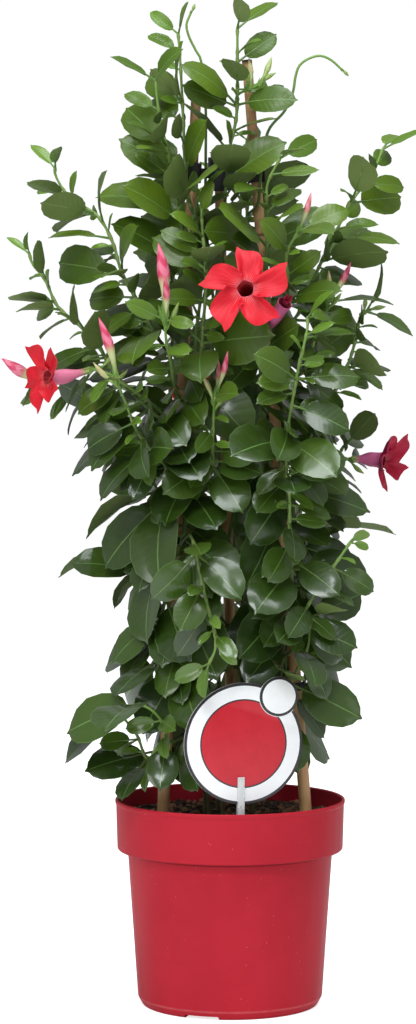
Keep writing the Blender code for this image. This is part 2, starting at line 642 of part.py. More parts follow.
def grow_buds(stems, obstacles):
    """Buds at the ends of their shoots: each a foot, a direction, a length and a radius."""
    ends = {stem["name"]: stem for stem in stems}
    buds = []
    for name, length, radius, lean, turn in BUDS:
        line = ends[name]["line"]
        ahead = (line[-1] - line[-3]).normalized()
        side = pair_direction(ahead, turn)
        direction = ahead * math.cos(math.radians(lean)) + side * math.sin(math.radians(lean))
        back = 0.004 * (len([bud for bud in buds if bud["stem"] == name]) % 4)
        foot, _ = at_distance(line, line_length(line) - 0.0004 - back)
        bud = {"foot": foot, "ahead": direction.normalized(), "length": length * MM, "radius": radius * MM}
        bud["vine"] = ends[name]["vine"]
        bud["stem"] = name
        buds.append(bud)
        points = [foot + bud["ahead"] * (length * MM * t) for t, _ in BUD_ROWS + ((1.0, 0.2),)]
        radii = [bud["radius"] * share + LEAF_SPACE for _, share in BUD_ROWS + ((1.0, 0.2),)]
        obstacles.append(tube_guard(points, radii, 5))
    return buds


def bloom_frame(name, stems):
    """A flower's face centre, its way, its radius, its opening and where its calyx is."""
    stalk, centre, way, radius, opening = BLOOMS[name]
    ends = {stem["name"]: stem for stem in stems}
    foot = ends[stalk]["line"][-1]
    return Vector(centre) * MM, Vector(way).normalized(), radius * MM, opening, foot, ends[stalk]


def petal_side(way):
    """The direction square to a flower's way from which its petals are counted."""
    return Matrix.Rotation(PETAL_TURN, 3, way) @ way.orthogonal().normalized()


def bloom_rings(centre, way, radius, opening, foot):
    """Points of a flower's skin, from the foot of its tube to the edge of its petals."""
    bend_end = centre - way * ((centre - foot).length * TUBE_BEND)
    start = foot + (bend_end - foot).normalized() * (CALYX_LENGTH + GAP)
    spread = max(opening, 0.12)
    throat = min(THROAT_RADIUS, radius * 0.55)
    stations = ((0.0, TUBE_FOOT_RADIUS), (0.40, TUBE_FOOT_RADIUS * 1.35), (0.92, throat))
    steps = PETALS * PETAL_STEPS
    first_side = petal_side(way)
    rings = []
    for share, ring_radius in stations:
        a = start.lerp(bend_end, share)
        b = bend_end.lerp(centre, share)
        middle = a.lerp(b, share)
        axis = (b - a).normalized()
        side = (first_side - axis * first_side.dot(axis)).normalized()
        other = axis.cross(side)
        turns = [2 * math.pi * k / steps for k in range(steps)]
        rings.append([middle + (side * math.cos(t) + other * math.sin(t)) * ring_radius for t in turns])
    other = way.cross(first_side)
    for reach in (0.55, 1.0):
        ring = []
        for k in range(steps):
            outline = PETAL_OUTLINE[k % PETAL_STEPS]
            limit = radius * outline
            far = throat + (limit - throat) * reach
            turn = 2 * math.pi * (k + 0.5 * reach) / steps
            flat = far * (0.18 + 0.82 * spread)
            droop = -0.10 * radius * reach * reach * spread * (1 if outline > 0.9 else 0.3)
            rise = (1 - spread) * (far - throat) * 1.05 + droop + 0.10 * radius * reach
            ring.append(centre + (first_side * math.cos(turn) + other * math.sin(turn)) * flat + way * rise)
        rings.append(ring)
    return rings


def keep_open():
    """Room that leaves leave free: before the label, the flowers and the tall buds."""
    front = Vector((0, -1, 0.03))
    found = []
    label = Vector(LABEL_CENTRE) * MM
    facing = Vector((math.sin(LABEL_TURN), -math.cos(LABEL_TURN), 0))
    ends = [label - facing * 0.004, label + facing * 0.010, label + front * 0.07]
    found.append(tube_guard(ends, [LABEL_RADIUS + 0.001] * 3, 14))
    tab = label + Matrix.Rotation(LABEL_TURN, 3, "Z") @ Vector((TAB_PLACE[0], 0, TAB_PLACE[1]))
    found.append(tube_guard([tab - facing * 0.004, tab + facing * 0.05], [TAB_RADIUS + 0.001] * 2, 10))
    for name, (_, centre, way, radius, opening) in BLOOMS.items():
        middle = Vector(centre) * MM
        ahead = Vector(way).normalized()
        wide = radius * MM * (0.3 + 0.7 * opening)
        found.append(tube_guard([middle - ahead * 0.002, middle + ahead * 0.03], [wide, wide * 1.02], 12))
    for name in ("bloom_main", "bloom_left", "bloom_right"):
        middle = Vector(BLOOMS[name][1]) * MM
        wide = BLOOMS[name][3] * MM * 0.82
        found.append(tube_guard([middle + front * 0.004, middle + front * 0.08], [wide, wide], 12))
    return found


def grow_blooms(stems, obstacles):
    """Every flower as a record: its rings of points, its vine, its calyx's foot and direction."""
    blooms = {}
    for name in BLOOMS:
        centre, way, radius, opening, foot, stalk = bloom_frame(name, stems)
        rings = bloom_rings(centre, way, radius, opening, foot)
        verts = [p for ring in rings for p in ring]
        steps = len(rings[0])
        faces = []
        for i in range(len(rings) - 1):
            for k in range(steps):
                a = i * steps + k
                b = i * steps + (k + 1) % steps
                faces.append((a, b, b + steps, a + steps))
        obstacles.append(guard(verts, faces))
        blooms[name] = {"rings": rings, "vine": stalk["vine"], "foot": foot, "stalk": stalk["name"]}
        blooms[name]["ahead"] = (sum(rings[0], Vector()) / steps - foot).normalized()
    return blooms


def grow_plant():
    """The whole plant in numbers: stems, leaves, buds, flowers, and what else would grow keeps clear of."""
    stems = grow_stems()
    obstacles = []
    for stem in stems:
        line = stem["line"]
        points = line[::3] + [line[-1]]
        last = len(points) - 1
        radii = [stem_radius(stem, i / last) + LEAF_SPACE + 0.0004 for i in range(last + 1)]
        obstacles.append(tube_guard(points, radii, 5))
    for a, b, radius in capsules():
        obstacles.append(tube_guard([a, b], [radius + 0.0005] * 2, 8))
    blooms = grow_blooms(stems, obstacles)
    obstacles += keep_open()
    buds = grow_buds(stems, obstacles)
    leaves = grow_leaves(stems, obstacles)
    return stems, leaves, buds, blooms, obstacles


def new_collection(name, parent=None, hidden=False):
    collection = bpy.data.collections.new(name)
    (parent or bpy.context.scene.collection).children.link(collection)
    collection.hide_render = hidden
    return collection


def new_material(name, colour, roughness, metallic=0.0):
    material = bpy.data.materials.new(name)
    material.use_nodes = True
    shader = material.node_tree.nodes["Principled BSDF"]
    shader.inputs["Base Color"].default_value = (*colour, 1.0)
    shader.inputs["Roughness"].default_value = roughness
    shader.inputs["Metallic"].default_value = metallic
    return material


def mesh_object(name, verts, faces, collection, material=None):
    mesh = bpy.data.meshes.new(name)
    mesh.from_pydata(verts, [], faces)
    mesh.update()
    obj = bpy.data.objects.new(name, mesh)
    collection.objects.link(obj)
    if material:
        mesh.materials.append(material)
    return obj


def primitive(name, collection, material, make, matrix, **settings):
    """An object from one of bmesh's primitives, its shape already in place."""
    shape = bmesh.new()
    make(shape, matrix=matrix, **settings)
    mesh = bpy.data.meshes.new(name)
    shape.to_mesh(mesh)
    shape.free()
    if material:
        mesh.materials.append(material)
    obj = bpy.data.objects.new(name, mesh)
    collection.objects.link(obj)
    return obj


def cylinder(name, collection, material, foot, top, radius, top_radius=None, sides=16):
    axis = top - foot
    turn = axis.to_track_quat("Z", "Y").to_matrix().to_4x4()
    matrix = Matrix.Translation((foot + top) / 2) @ turn
    wide = top_radius if top_radius is not None else radius
    return primitive(name, collection, material, bmesh.ops.create_cone, matrix, cap_ends=True, segments=sides,
                     radius1=radius, radius2=wide, depth=axis.length)


def box(name, collection, material, centre, size, turn=0.0):
    matrix = Matrix.Translation(centre) @ Matrix.Rotation(turn, 4, "Z") @ Matrix.Diagonal((*size, 1))
    return primitive(name, collection, material, bmesh.ops.create_cube, matrix, size=1.0)


def hide_cutter(obj):
    obj.hide_render = True
    obj.display_type = "WIRE"


def boolean(obj, operation, collection, solver="EXACT"):
    modifier = obj.modifiers.new(operation.title(), "BOOLEAN")
    modifier.operation = operation
    modifier.operand_type = "COLLECTION"
    modifier.collection = collection
    modifier.solver = solver
    return modifier


def shade(obj, angle=35):
    obj.data.shade_smooth()
    obj.data.set_sharp_from_angle(angle=math.radians(angle))


def apply_all(obj):
    """Replaces an object's mesh with the one its modifiers make."""
    bpy.context.view_layer.update()
    depsgraph = bpy.context.evaluated_depsgraph_get()
    made = bpy.data.meshes.new_from_object(obj.evaluated_get(depsgraph))
    obj.modifiers.clear()
    obj.data = made


def clean_flats(obj):
    """Takes out the points that a union leaves inside flat faces and along straight edges.

    It tries smaller angles where the surface doesn't stay closed.
    """
    for angle in FLAT_ANGLES:
        shape = bmesh.new()
        shape.from_mesh(obj.data)
        bmesh.ops.remove_doubles(shape, verts=shape.verts, dist=MERGE_DISTANCE)
        bmesh.ops.dissolve_limit(shape, angle_limit=angle, verts=shape.verts, edges=shape.edges)
        bmesh.ops.triangulate(shape, faces=shape.faces)
        closed = all(edge.is_manifold for edge in shape.edges)
        if closed:
            shape.to_mesh(obj.data)
        shape.free()
        if closed:
            return


def drop_collection(collection):
    for obj in list(collection.objects):
        bpy.data.objects.remove(obj)
    bpy.data.collections.remove(collection)


def pot_outline():
    """The pot's wall in section, from the middle of its floor up, over the rim and round under."""
    ledge = POT_HEIGHT - COLLAR_DEPTH
    floor = FLOOR_LIFT + WALL
    ring_inner = FOOT_RADIUS - FOOT_WIDTH
    return [
        (0.0, floor), (BODY_FOOT_RADIUS - WALL - 0.0008, floor), (BODY_FOOT_RADIUS - WALL, FOOT_LINE),
        (BODY_TOP_RADIUS - WALL, ledge - 0.0012), (COLLAR_RADIUS - WALL, ledge + 0.0006),
        (COLLAR_TOP_RADIUS - WALL, POT_HEIGHT - 0.0006), (RIM_RADIUS - 0.0008, POT_HEIGHT),
        (RIM_RADIUS, POT_HEIGHT - 0.0008), (RIM_RADIUS - 0.0001, POT_HEIGHT - LIP_HEIGHT),
        (COLLAR_TOP_RADIUS, POT_HEIGHT - LIP_HEIGHT - 0.0005), (COLLAR_RADIUS, ledge),
        (COLLAR_RADIUS - 0.0010, ledge - 0.0010), (BODY_TOP_RADIUS, ledge - 0.0016),
        (BODY_FOOT_RADIUS, FOOT_LINE), (FOOT_RADIUS + 0.0008, 0.0010), (FOOT_RADIUS, 0.0), (ring_inner, 0.0),
        (ring_inner - WALL / 2, FLOOR_LIFT), (PAD_RADIUS + WALL / 2, FLOOR_LIFT), (PAD_RADIUS, 0.0), (0.0, 0.0),
    ]


def make_pot(collection, cutters):
    outline = pot_outline()
    mesh = bpy.data.meshes.new("pot")
    points = [(radius, 0.0, height) for radius, height in outline]
    mesh.from_pydata(points, [(i, i + 1) for i in range(len(points) - 1)], [])
    mesh.materials.append(new_material("pot_red", (0.52, 0.012, 0.020), 0.38))
    pot = bpy.data.objects.new("pot", mesh)
    collection.objects.link(pot)
    turn = pot.modifiers.new("Turn", "SCREW")
    turn.steps = POT_SEGMENTS
    turn.render_steps = POT_SEGMENTS
    turn.use_merge_vertices = True
    turn.merge_threshold = 1e-5
    turn.use_normal_calculate = True
    for i in range(DRAIN_HOLES):
        angle = 2 * math.pi * (i + 0.5) / DRAIN_HOLES
        place = Vector((math.cos(angle) * DRAIN_CIRCLE, math.sin(angle) * DRAIN_CIRCLE, 0))
        hole = cylinder("drain_hole", cutters, None, place - UP * 0.002, place + UP * 0.009, DRAIN_RADIUS, sides=8)
        hide_cutter(hole)
    middle = FOOT_RADIUS - FOOT_WIDTH / 2
    for i in range(NOTCHES):
        angle = NOTCH_FIRST_ANGLE + 2 * math.pi * i / NOTCHES
        centre = Vector((math.cos(angle) * middle, math.sin(angle) * middle, NOTCH_HEIGHT / 2 - 0.002))
        size = (FOOT_WIDTH * 2.4, NOTCH_WIDTH, NOTCH_HEIGHT + 0.004)
        notch = box("foot_notch", cutters, None, centre, size, angle)
        hide_cutter(notch)
    boolean(pot, "DIFFERENCE", cutters)
    return pot


def make_soil(collection, cutters, stems):
    """Soil turned from the pot's inside, lumpy on top, with a plain hole for all that stands in it."""
    ledge = POT_HEIGHT - COLLAR_DEPTH
    fill = GAP + 0.0004
    wall = WALL + fill
    collar_share = (SOIL_LEVEL - ledge) / COLLAR_DEPTH
    top_radius = COLLAR_RADIUS + (COLLAR_TOP_RADIUS - COLLAR_RADIUS) * collar_share - wall
    floor = FLOOR_LIFT + WALL + fill
    outline = [(top_radius * i / SOIL_RINGS, SOIL_LEVEL) for i in range(SOIL_RINGS + 1)]
    outline += [
        (COLLAR_RADIUS - wall, ledge + 0.0014), (BODY_TOP_RADIUS - wall - 0.0002, ledge - 0.0010),
        (BODY_FOOT_RADIUS - wall - 0.0008, FOOT_LINE + 0.0002), (BODY_FOOT_RADIUS - wall - 0.0014, floor), (0.0, floor),
    ]
    shape = bmesh.new()
    verts = [shape.verts.new((radius, 0, height)) for radius, height in outline]
    edges = [shape.edges.new(pair) for pair in zip(verts, verts[1:])]
    bmesh.ops.spin(shape, geom=verts + edges, axis=UP, cent=(0, 0, 0), steps=SOIL_SEGMENTS, angle=2 * math.pi)
    bmesh.ops.remove_doubles(shape, verts=shape.verts, dist=1e-5)
    for vert in shape.verts:
        if vert.co.z > SOIL_LEVEL - 1e-5:
            lump = noise.noise(vert.co * 60) + 0.6 * noise.noise(vert.co * 140)
            edge = Vector((vert.co.x, vert.co.y, 0)).length / top_radius
            vert.co.z += lump * SOIL_ROUGHNESS - 0.0012 * edge**2
    bmesh.ops.recalc_face_normals(shape, faces=shape.faces)
    bmesh.ops.triangulate(shape, faces=shape.faces)
    mesh = bpy.data.meshes.new("soil")
    shape.to_mesh(mesh)
    shape.free()
    mesh.materials.append(new_material("soil_peat", (0.055, 0.030, 0.018), 0.95))
    soil = bpy.data.objects.new("soil", mesh)
    collection.objects.link(soil)
    above = SOIL_LEVEL + 0.012
    for cane in CANE_FEET:
        foot = cane_point(cane, Vector(CANE_FEET[cane]).z * MM - 0.0012)
        hole = cylinder("cane_hole", cutters, None, foot, cane_point(cane, above), CANE_RADIUS + 0.0012, sides=8)
        hide_cutter(hole)
    for stem in stems:
        if stem["name"] in VINES:
            line = stem["line"]
            end = min(line, key=lambda p: abs(p.z - above))
            foot = line[0] - (end - line[0]).normalized() * 0.001
            hole = cylinder("stem_hole", cutters, None, foot, end, STEM_RADIUS + 0.0024, sides=6)
            hide_cutter(hole)
    facing = Matrix.Rotation(LABEL_TURN, 3, "Z")
    place = Vector(LABEL_CENTRE) * MM + facing @ Vector((STAKE_PLACE, 0, 0))
    centre = Vector((place.x, place.y, (STAKE_FOOT + above) / 2 - 0.0006))
    size = (STAKE_WIDTH + 0.0012, STAKE_THICKNESS + 0.0012, above - STAKE_FOOT + 0.0012)
    hide_cutter(box("stake_hole", cutters, None, centre, size, LABEL_TURN))
    boolean(soil, "DIFFERENCE", cutters)
    return soil


def make_cane(cane, collection):
    """A bamboo stick, turned from a profile that swells a little at each joint."""
    foot = Vector(CANE_FEET[cane]) * MM
    top = Vector(CANE_TOPS[cane]) * MM
    length = (top - foot).length
    profile = [(0.0, length)]
    heights = [length]
    joint = CANE_JOINT_PITCH * {"left": 0.55, "right": 0.8, "back": 0.35}[cane]
    while joint < length - 0.02:
        heights += [joint + 0.004, joint, joint - 0.004]
        joint += CANE_JOINT_PITCH
    heights.append(0.0)
    for height in sorted(heights, reverse=True):
        swell = CANE_JOINT_SWELL if height in heights[2::3] and 0 < height < length else 0.0
        profile.append((CANE_RADIUS + (CANE_TOP_RADIUS - CANE_RADIUS) * height / length + swell, height))
    profile.append((0.0, 0.0))
    mesh = bpy.data.meshes.new("cane_" + cane)
    points = [(radius, 0.0, height) for radius, height in profile]
    mesh.from_pydata(points, [(i, i + 1) for i in range(len(points) - 1)], [])
    mesh.materials.append(new_material("bamboo_" + cane, (0.62, 0.36, 0.16), 0.55))
    obj = bpy.data.objects.new("cane_" + cane, mesh)
    collection.objects.link(obj)
    turn = obj.modifiers.new("Turn", "SCREW")
    turn.steps = CANE_SIDES
    turn.render_steps = CANE_SIDES
    turn.use_merge_vertices = True
    turn.merge_threshold = 1e-5
    obj.location = foot
    obj.rotation_euler = (top - foot).to_track_quat("Z", "Y").to_euler()
    return obj


def along_cane(cane):
    return (Vector(CANE_TOPS[cane]) - Vector(CANE_FEET[cane])).normalized()


def cane_width(cane, height):
    """A cane's radius at a height, with its swelling."""
    foot = CANE_FEET[cane][2] * MM
    top = CANE_TOPS[cane][2] * MM
    return CANE_RADIUS + (CANE_TOP_RADIUS - CANE_RADIUS) * (height - foot) / (top - foot) + CANE_JOINT_SWELL


def make_spreader(collection, parent):
    """A cup on the back cane's top, and an arm with a snap clip to each front cane."""
    solids = new_collection("spreader_solids", parent, True)
    holes = new_collection("spreader_cutters", parent, True)
    centre = cane_point("back", SPREADER_LEVEL)
    axis = along_cane("back")
    black = new_material("spreader_black", (0.015, 0.015, 0.016), 0.45)
    half = axis * CUP_HEIGHT / 2
    cup = cylinder("spreader", collection, black, centre - half, centre + half, CUP_RADIUS, sides=12)
    tip = Vector(CANE_TOPS["back"]) * MM + axis * GAP
    hide_cutter(cylinder("cup_hole", holes, None, centre - half * 1.2, tip, CANE_TOP_RADIUS + CANE_JOINT_SWELL + GAP * 2,
                         sides=9))
    for cane in ("left", "right"):
        ring = cane_point(cane, SPREADER_LEVEL)
        way = along_cane(cane)
        rise = way * CLIP_HEIGHT / 2
        inner = cane_width(cane, SPREADER_LEVEL) + GAP
        cylinder("clip_" + cane, solids, black, ring - rise, ring + rise, inner + CLIP_WALL, sides=12)
        level = Vector((ring.x - centre.x, ring.y - centre.y, 0))
        reach = level.length
        turn = math.atan2(level.y, level.x)
        middle = (centre + ring) / 2
        box("arm_" + cane, solids, black, middle, (reach - CUP_RADIUS / 2 - inner, ARM_WIDTH, ARM_HEIGHT), turn)
        hide_cutter(cylinder("clip_hole", holes, None, ring - rise * 1.5, ring + rise * 1.5, inner, sides=10))
        mouth = ring + level.normalized() * (inner + CLIP_WALL)
        size = (2 * inner, CLIP_OPENING, CLIP_HEIGHT * 1.6)
        hide_cutter(box("clip_mouth", holes, None, mouth, size, turn))
    boolean(cup, "UNION", solids)
    boolean(cup, "DIFFERENCE", holes)
    apply_all(cup)
    drop_collection(solids)
    drop_collection(holes)
    return cup


def make_tie(name, cane, height, collection, parent):
    """A snap band round a cane, open at its back, with a small tongue."""
    holes = new_collection(name + "_cutters", parent, True)
    ring = cane_point(cane, height * MM)
    way = along_cane(cane)
    rise = way * TIE_HEIGHT / 2
    inner = cane_width(cane, height * MM) + GAP
    black = new_material(name + "_black", (0.015, 0.015, 0.016), 0.5)
    band = cylinder(name, collection, black, ring - rise, ring + rise, inner + TIE_WALL, sides=12)
    hide_cutter(cylinder("bore", holes, None, ring - rise * 1.5, ring + rise * 1.5, inner, sides=10))
    mouth = ring + Vector((0, inner + TIE_WALL, 0))
    hide_cutter(box("mouth", holes, None, mouth, (inner, inner * 2, TIE_HEIGHT * 2)))
    boolean(band, "DIFFERENCE", holes)
    apply_all(band)
    drop_collection(holes)
    return band


def make_label(collection, parent):
    """The blank card with its tab, turned a little to the right."""
    tabs = new_collection("label_tab", parent, True)
    centre = Vector(LABEL_CENTRE) * MM
    facing = Matrix.Rotation(LABEL_TURN, 3, "Z") @ Vector((0, -1, 0))
    right = Matrix.Rotation(LABEL_TURN, 3, "Z") @ Vector((1, 0, 0))
    half = facing * LABEL_THICKNESS / 2
    white = new_material("label_card", (0.86, 0.86, 0.85), 0.35)
    card = cylinder("label", collection, white, centre - half, centre + half, LABEL_RADIUS, sides=LABEL_SEGMENTS)
    tab = centre + right * TAB_PLACE[0] + UP * TAB_PLACE[1] + facing * 0.0002
    cylinder("tab", tabs, white, tab - half, tab + half * 1.3, TAB_RADIUS, sides=20)
    boolean(card, "UNION", tabs)
    apply_all(card)
    drop_collection(tabs)
    return card


def make_stake(collection, parent):
    """A clear flat stake, forked at its top to hold the card."""
    slot = new_collection("stake_slot", parent, True)
    facing = Matrix.Rotation(LABEL_TURN, 3, "Z")
    centre = Vector(LABEL_CENTRE) * MM
    place = centre + facing @ Vector((STAKE_PLACE, 0, 0))
    middle = Vector((place.x, place.y, (STAKE_FOOT + STAKE_TOP) / 2))
    clear = new_material("stake_clear", (0.80, 0.82, 0.83), 0.15)
    stake = box("label_stake", collection, clear, middle, (STAKE_WIDTH, STAKE_THICKNESS, STAKE_TOP - STAKE_FOOT),
                LABEL_TURN)
    foot = centre.z - LABEL_RADIUS - GAP * 2
    cut = Vector((place.x, place.y, (foot + STAKE_TOP) / 2 + 0.002))
    size = (STAKE_WIDTH * 1.5, LABEL_THICKNESS + 2 * GAP, STAKE_TOP - foot + 0.004)
    hide_cutter(box("slot", slot, None, cut, size, LABEL_TURN))
    boolean(stake, "DIFFERENCE", slot)
    apply_all(stake)
    drop_collection(slot)
    return stake


def stem_object(stem, collection):
    """One stem: a curve with a round section, made a mesh with its caps welded."""
    curve = bpy.data.curves.new(stem["name"], "CURVE")
    curve.dimensions = "3D"
    curve.bevel_depth = 1.0
    curve.bevel_resolution = STEM_SIDES_LEVEL
    curve.use_fill_caps = True
    line = thin_line(stem["line"], TUBE_SLACK)
    whole = line_length(line)
    spline = curve.splines.new("POLY")
    spline.points.add(len(line) - 1)
    gone = 0.0
    for i, point in enumerate(line):
        if i:
            gone += (point - line[i - 1]).length
        spline.points[i].co = (*point, 1.0)
        spline.points[i].radius = stem_radius(stem, gone / whole)
    tube = bpy.data.objects.new(stem["name"] + "_curve", curve)
    collection.objects.link(tube)
    bpy.context.view_layer.update()
    depsgraph = bpy.context.evaluated_depsgraph_get()
    mesh = bpy.data.meshes.new_from_object(tube.evaluated_get(depsgraph))
    shape = bmesh.new()
    shape.from_mesh(mesh)
    bmesh.ops.remove_doubles(shape, verts=shape.verts, dist=1e-6)
    bmesh.ops.recalc_face_normals(shape, faces=shape.faces)
    shape.to_mesh(mesh)
    shape.free()
    obj = bpy.data.objects.new(stem["name"], mesh)
    obj.matrix_world = tube.matrix_world
    collection.objects.link(obj)
    bpy.data.objects.remove(tube)
    return obj


def leaf_kind(leaf):
    if leaf["length"] > LARGE_LEAF:
        return "large"
    return "middle" if leaf["length"] > SMALL_LEAF else "small"


def leaf_rows(leaf):
    """The rows of a leaf's plate from its root to its tip, each with the way its thickness goes."""
    wide = leaf["thick"] * STALK_SHARE
    side = leaf["side"]
    up = leaf["up"]
    kind = leaf_kind(leaf)
    rows = [([leaf["root"] - side * wide, leaf["root"] + side * wide], up)]
    if kind != "small":
        rows.append(([leaf["base"] - side * wide, leaf["base"] + side * wide], up))
    across = (-1, 0, 1) if kind == "large" else (-1, 1)
    for t in LEAF_ROWS[kind]:
        rows.append(([blade_point(leaf, t, u)[0] for u in across], blade_point(leaf, t, 0)[1]))
    rows.append(([blade_point(leaf, 1, 0)[0]], blade_point(leaf, 1, 0)[1]))
    return rows


def leaf_object(leaf, number, collection):
    """A leaf as a thin closed plate, split into triangles alike on both faces."""
    rows = leaf_rows(leaf)
    half = BLADE_THICKNESS / 2
    top = [p + lift * half for row, lift in rows for p in row]
    bottom = [p - lift * half for row, lift in rows for p in row]
    upper = []
    left = [0]
    right = [1]
    a = 0
    for (row, _), (following, _) in zip(rows, rows[1:]):
        b = a + len(row)
        for k in range(len(row) - 1):
            if len(following) == 1:
                upper.append((a + k, a + k + 1, b))
            else:
                upper += [(a + k, a + k + 1, b + k + 1), (a + k, b + k + 1, b + k)]
        if len(following) > len(row):
            upper.append((b - 1, b + len(following) - 1, b + len(following) - 2))
        left.append(b)
        if len(following) > 1:
            right.append(b + len(following) - 1)
        a = b
    count = len(top)
    edge = left + right[::-1]
    faces = upper + [tuple(count + i for i in reversed(face)) for face in upper]
    faces += [(i, j, j + count, i + count) for i, j in zip(edge, edge[1:] + edge[:1])]
    return mesh_object(f"leaf_{number}", top + bottom, faces, collection)


def bud_object(bud, number, collection):
    """A bud: a spindle lofted from a stalk end to a point."""
    side = bud["ahead"].orthogonal().normalized()
    other = bud["ahead"].cross(side)
    shape = bmesh.new()
    rings = []
    for t, share in BUD_ROWS:
        middle = bud["foot"] + bud["ahead"] * (bud["length"] * t)
        ring = []
        for k in range(BUD_SIDES):
            turn = 2 * math.pi * (k + t) / BUD_SIDES
            reach = bud["radius"] * share
            ring.append(shape.verts.new(middle + (side * math.cos(turn) + other * math.sin(turn)) * reach))
        rings.append(ring)
    for low, high in zip(rings, rings[1:]):
        for k in range(BUD_SIDES):
            m = (k + 1) % BUD_SIDES
            shape.faces.new((low[k], low[m], high[m]))
            shape.faces.new((low[k], high[m], high[k]))
    tip = shape.verts.new(bud["foot"] + bud["ahead"] * bud["length"])
    for k in range(BUD_SIDES):
        shape.faces.new((rings[-1][k], rings[-1][(k + 1) % BUD_SIDES], tip))
    shape.faces.new(tuple(reversed(rings[0])))
    mesh = bpy.data.meshes.new(f"bud_{number}")
    shape.to_mesh(mesh)
    shape.free()
    obj = bpy.data.objects.new(f"bud_{number}", mesh)
    collection.objects.link(obj)
    return obj


def calyx_object(bloom, number, collection):
    foot = bloom["foot"] - bloom["ahead"] * 0.0010
    top = bloom["foot"] + bloom["ahead"] * CALYX_LENGTH
    return cylinder(f"calyx_{number}", collection, None, foot, top, TWIG_RADIUS, CALYX_RADIUS, sides=6)


def make_vine(name, collection, parent, stems, leaves, buds, blooms):
    """One vine: its stems, leaves, buds and calyces, fused into one solid."""
    loose = new_collection(name + "_repeats", parent, True)
    own = [stem for stem in stems if stem["vine"] == name]
    base = stem_object(own[0], collection)
    base.name = name
    base.data.materials.clear()
    base.data.materials.append(new_material(name + "_green", (0.020, 0.085, 0.018), 0.42))
    for stem in own[1:]:
        stem_object(stem, loose)
    for i, leaf in enumerate(leaf for leaf in leaves if leaf["vine"] == name):
        leaf_object(leaf, i, loose)
    for i, bud in enumerate(bud for bud in buds if bud["vine"] == name):
        bud_object(bud, i, loose)
    for i, bloom in enumerate(bloom for bloom in blooms.values() if bloom["vine"] == name):
        calyx_object(bloom, i, loose)
    boolean(base, "UNION", loose, "MANIFOLD")
    apply_all(base)
    drop_collection(loose)
    clean_flats(base)
    return base


def make_bloom(name, bloom, collection):
    """A flower: a skin lofted from its tube to its petal edges, then given its thickness."""
    rings = bloom["rings"]
    shape = bmesh.new()
    rows = [[shape.verts.new(point) for point in ring] for ring in rings]
    steps = len(rings[0])
    for low, high in zip(rows, rows[1:]):
        for k in range(steps):
            m = (k + 1) % steps
            shape.faces.new((low[k], low[m], high[m]))
            shape.faces.new((low[k], high[m], high[k]))
    mesh = bpy.data.meshes.new(name)
    shape.to_mesh(mesh)
    shape.free()
    mesh.materials.append(new_material(name + "_red", (0.80, 0.012, 0.030), 0.5))
    obj = bpy.data.objects.new(name, mesh)
    collection.objects.link(obj)
    skin = obj.modifiers.new("Thickness", "SOLIDIFY")
    skin.thickness = BLADE_THICKNESS
    skin.offset = 0.0
    return obj


def main():
    for obj in list(bpy.data.objects):
        bpy.data.objects.remove(obj)
    model = new_collection("mandevilla")
    cutters = new_collection("cutters", hidden=True)
    pot_cutters = new_collection("pot_cutters", cutters, True)
    soil_cutters = new_collection("soil_cutters", cutters, True)
    stems, leaves, buds, blooms, _ = grow_plant()
    make_pot(model, pot_cutters)
    make_soil(model, soil_cutters, stems)
    for cane in CANE_FEET:
        make_cane(cane, model)
    make_spreader(model, cutters)
    for name, (cane, height) in TIES.items():
        make_tie(name, cane, height, model, cutters)
    make_label(model, cutters)
    make_stake(model, cutters)
    for name in VINES:
        make_vine(name, model, cutters, stems, leaves, buds, blooms)
    for name, bloom in blooms.items():
        make_bloom(name, bloom, model)
    for obj in model.objects:
        shade(obj)
    print("stems", len(stems), "leaves", len(leaves), "buds", len(buds))


main()
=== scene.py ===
# %% [markdown]
# # A climbing mandevilla in a red nursery pot
#
# The real plant stands about 74 cm tall in a 17 cm pot. Its stems wind up three bamboo canes that
# lean together under a black spreader, and its leaves and red flowers hang out all round.
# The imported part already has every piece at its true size, but with few faces. Here each one is
# made again with the detail that the eye expects, in the same place, and given its finish.

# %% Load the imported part
import math
import random

import bmesh
import bpy
from mathutils import Matrix, Vector, kdtree, noise
from mathutils.bvhtree import BVHTree


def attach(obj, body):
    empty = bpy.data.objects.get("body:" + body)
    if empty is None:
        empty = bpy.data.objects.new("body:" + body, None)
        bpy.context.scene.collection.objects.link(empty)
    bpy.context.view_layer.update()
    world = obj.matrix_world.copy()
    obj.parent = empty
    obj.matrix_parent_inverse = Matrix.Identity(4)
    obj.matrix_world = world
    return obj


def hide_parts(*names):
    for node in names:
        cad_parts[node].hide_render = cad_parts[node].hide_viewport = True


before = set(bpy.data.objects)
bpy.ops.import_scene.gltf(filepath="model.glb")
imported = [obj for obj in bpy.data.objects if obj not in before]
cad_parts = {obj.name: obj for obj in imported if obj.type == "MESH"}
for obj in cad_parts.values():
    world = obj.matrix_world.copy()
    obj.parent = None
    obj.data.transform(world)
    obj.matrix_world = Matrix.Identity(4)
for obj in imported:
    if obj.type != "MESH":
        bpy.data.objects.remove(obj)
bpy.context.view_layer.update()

# %% [markdown]
# ## Camera
# The photograph is a tall catalogue shot taken from about the height of the flowers with a long
# lens, so the pot's rim is seen a little from above. A camera 2.4 m away with the same tilt gives
# the same rim. The sensor is fitted by its height, because the picture is tall.

# %% Set the camera
MM = 0.001
UP = Vector((0.0, 0.0, 1.0))
CAMERA_PLACE = (-0.0163, -2.4, 0.5)
CAMERA_DIP = math.radians(3.24)
SENSOR_HEIGHT = 24.0
LENS = 76.55


def show(obj):
    """Puts a new object into the scene."""
    bpy.context.scene.collection.objects.link(obj)


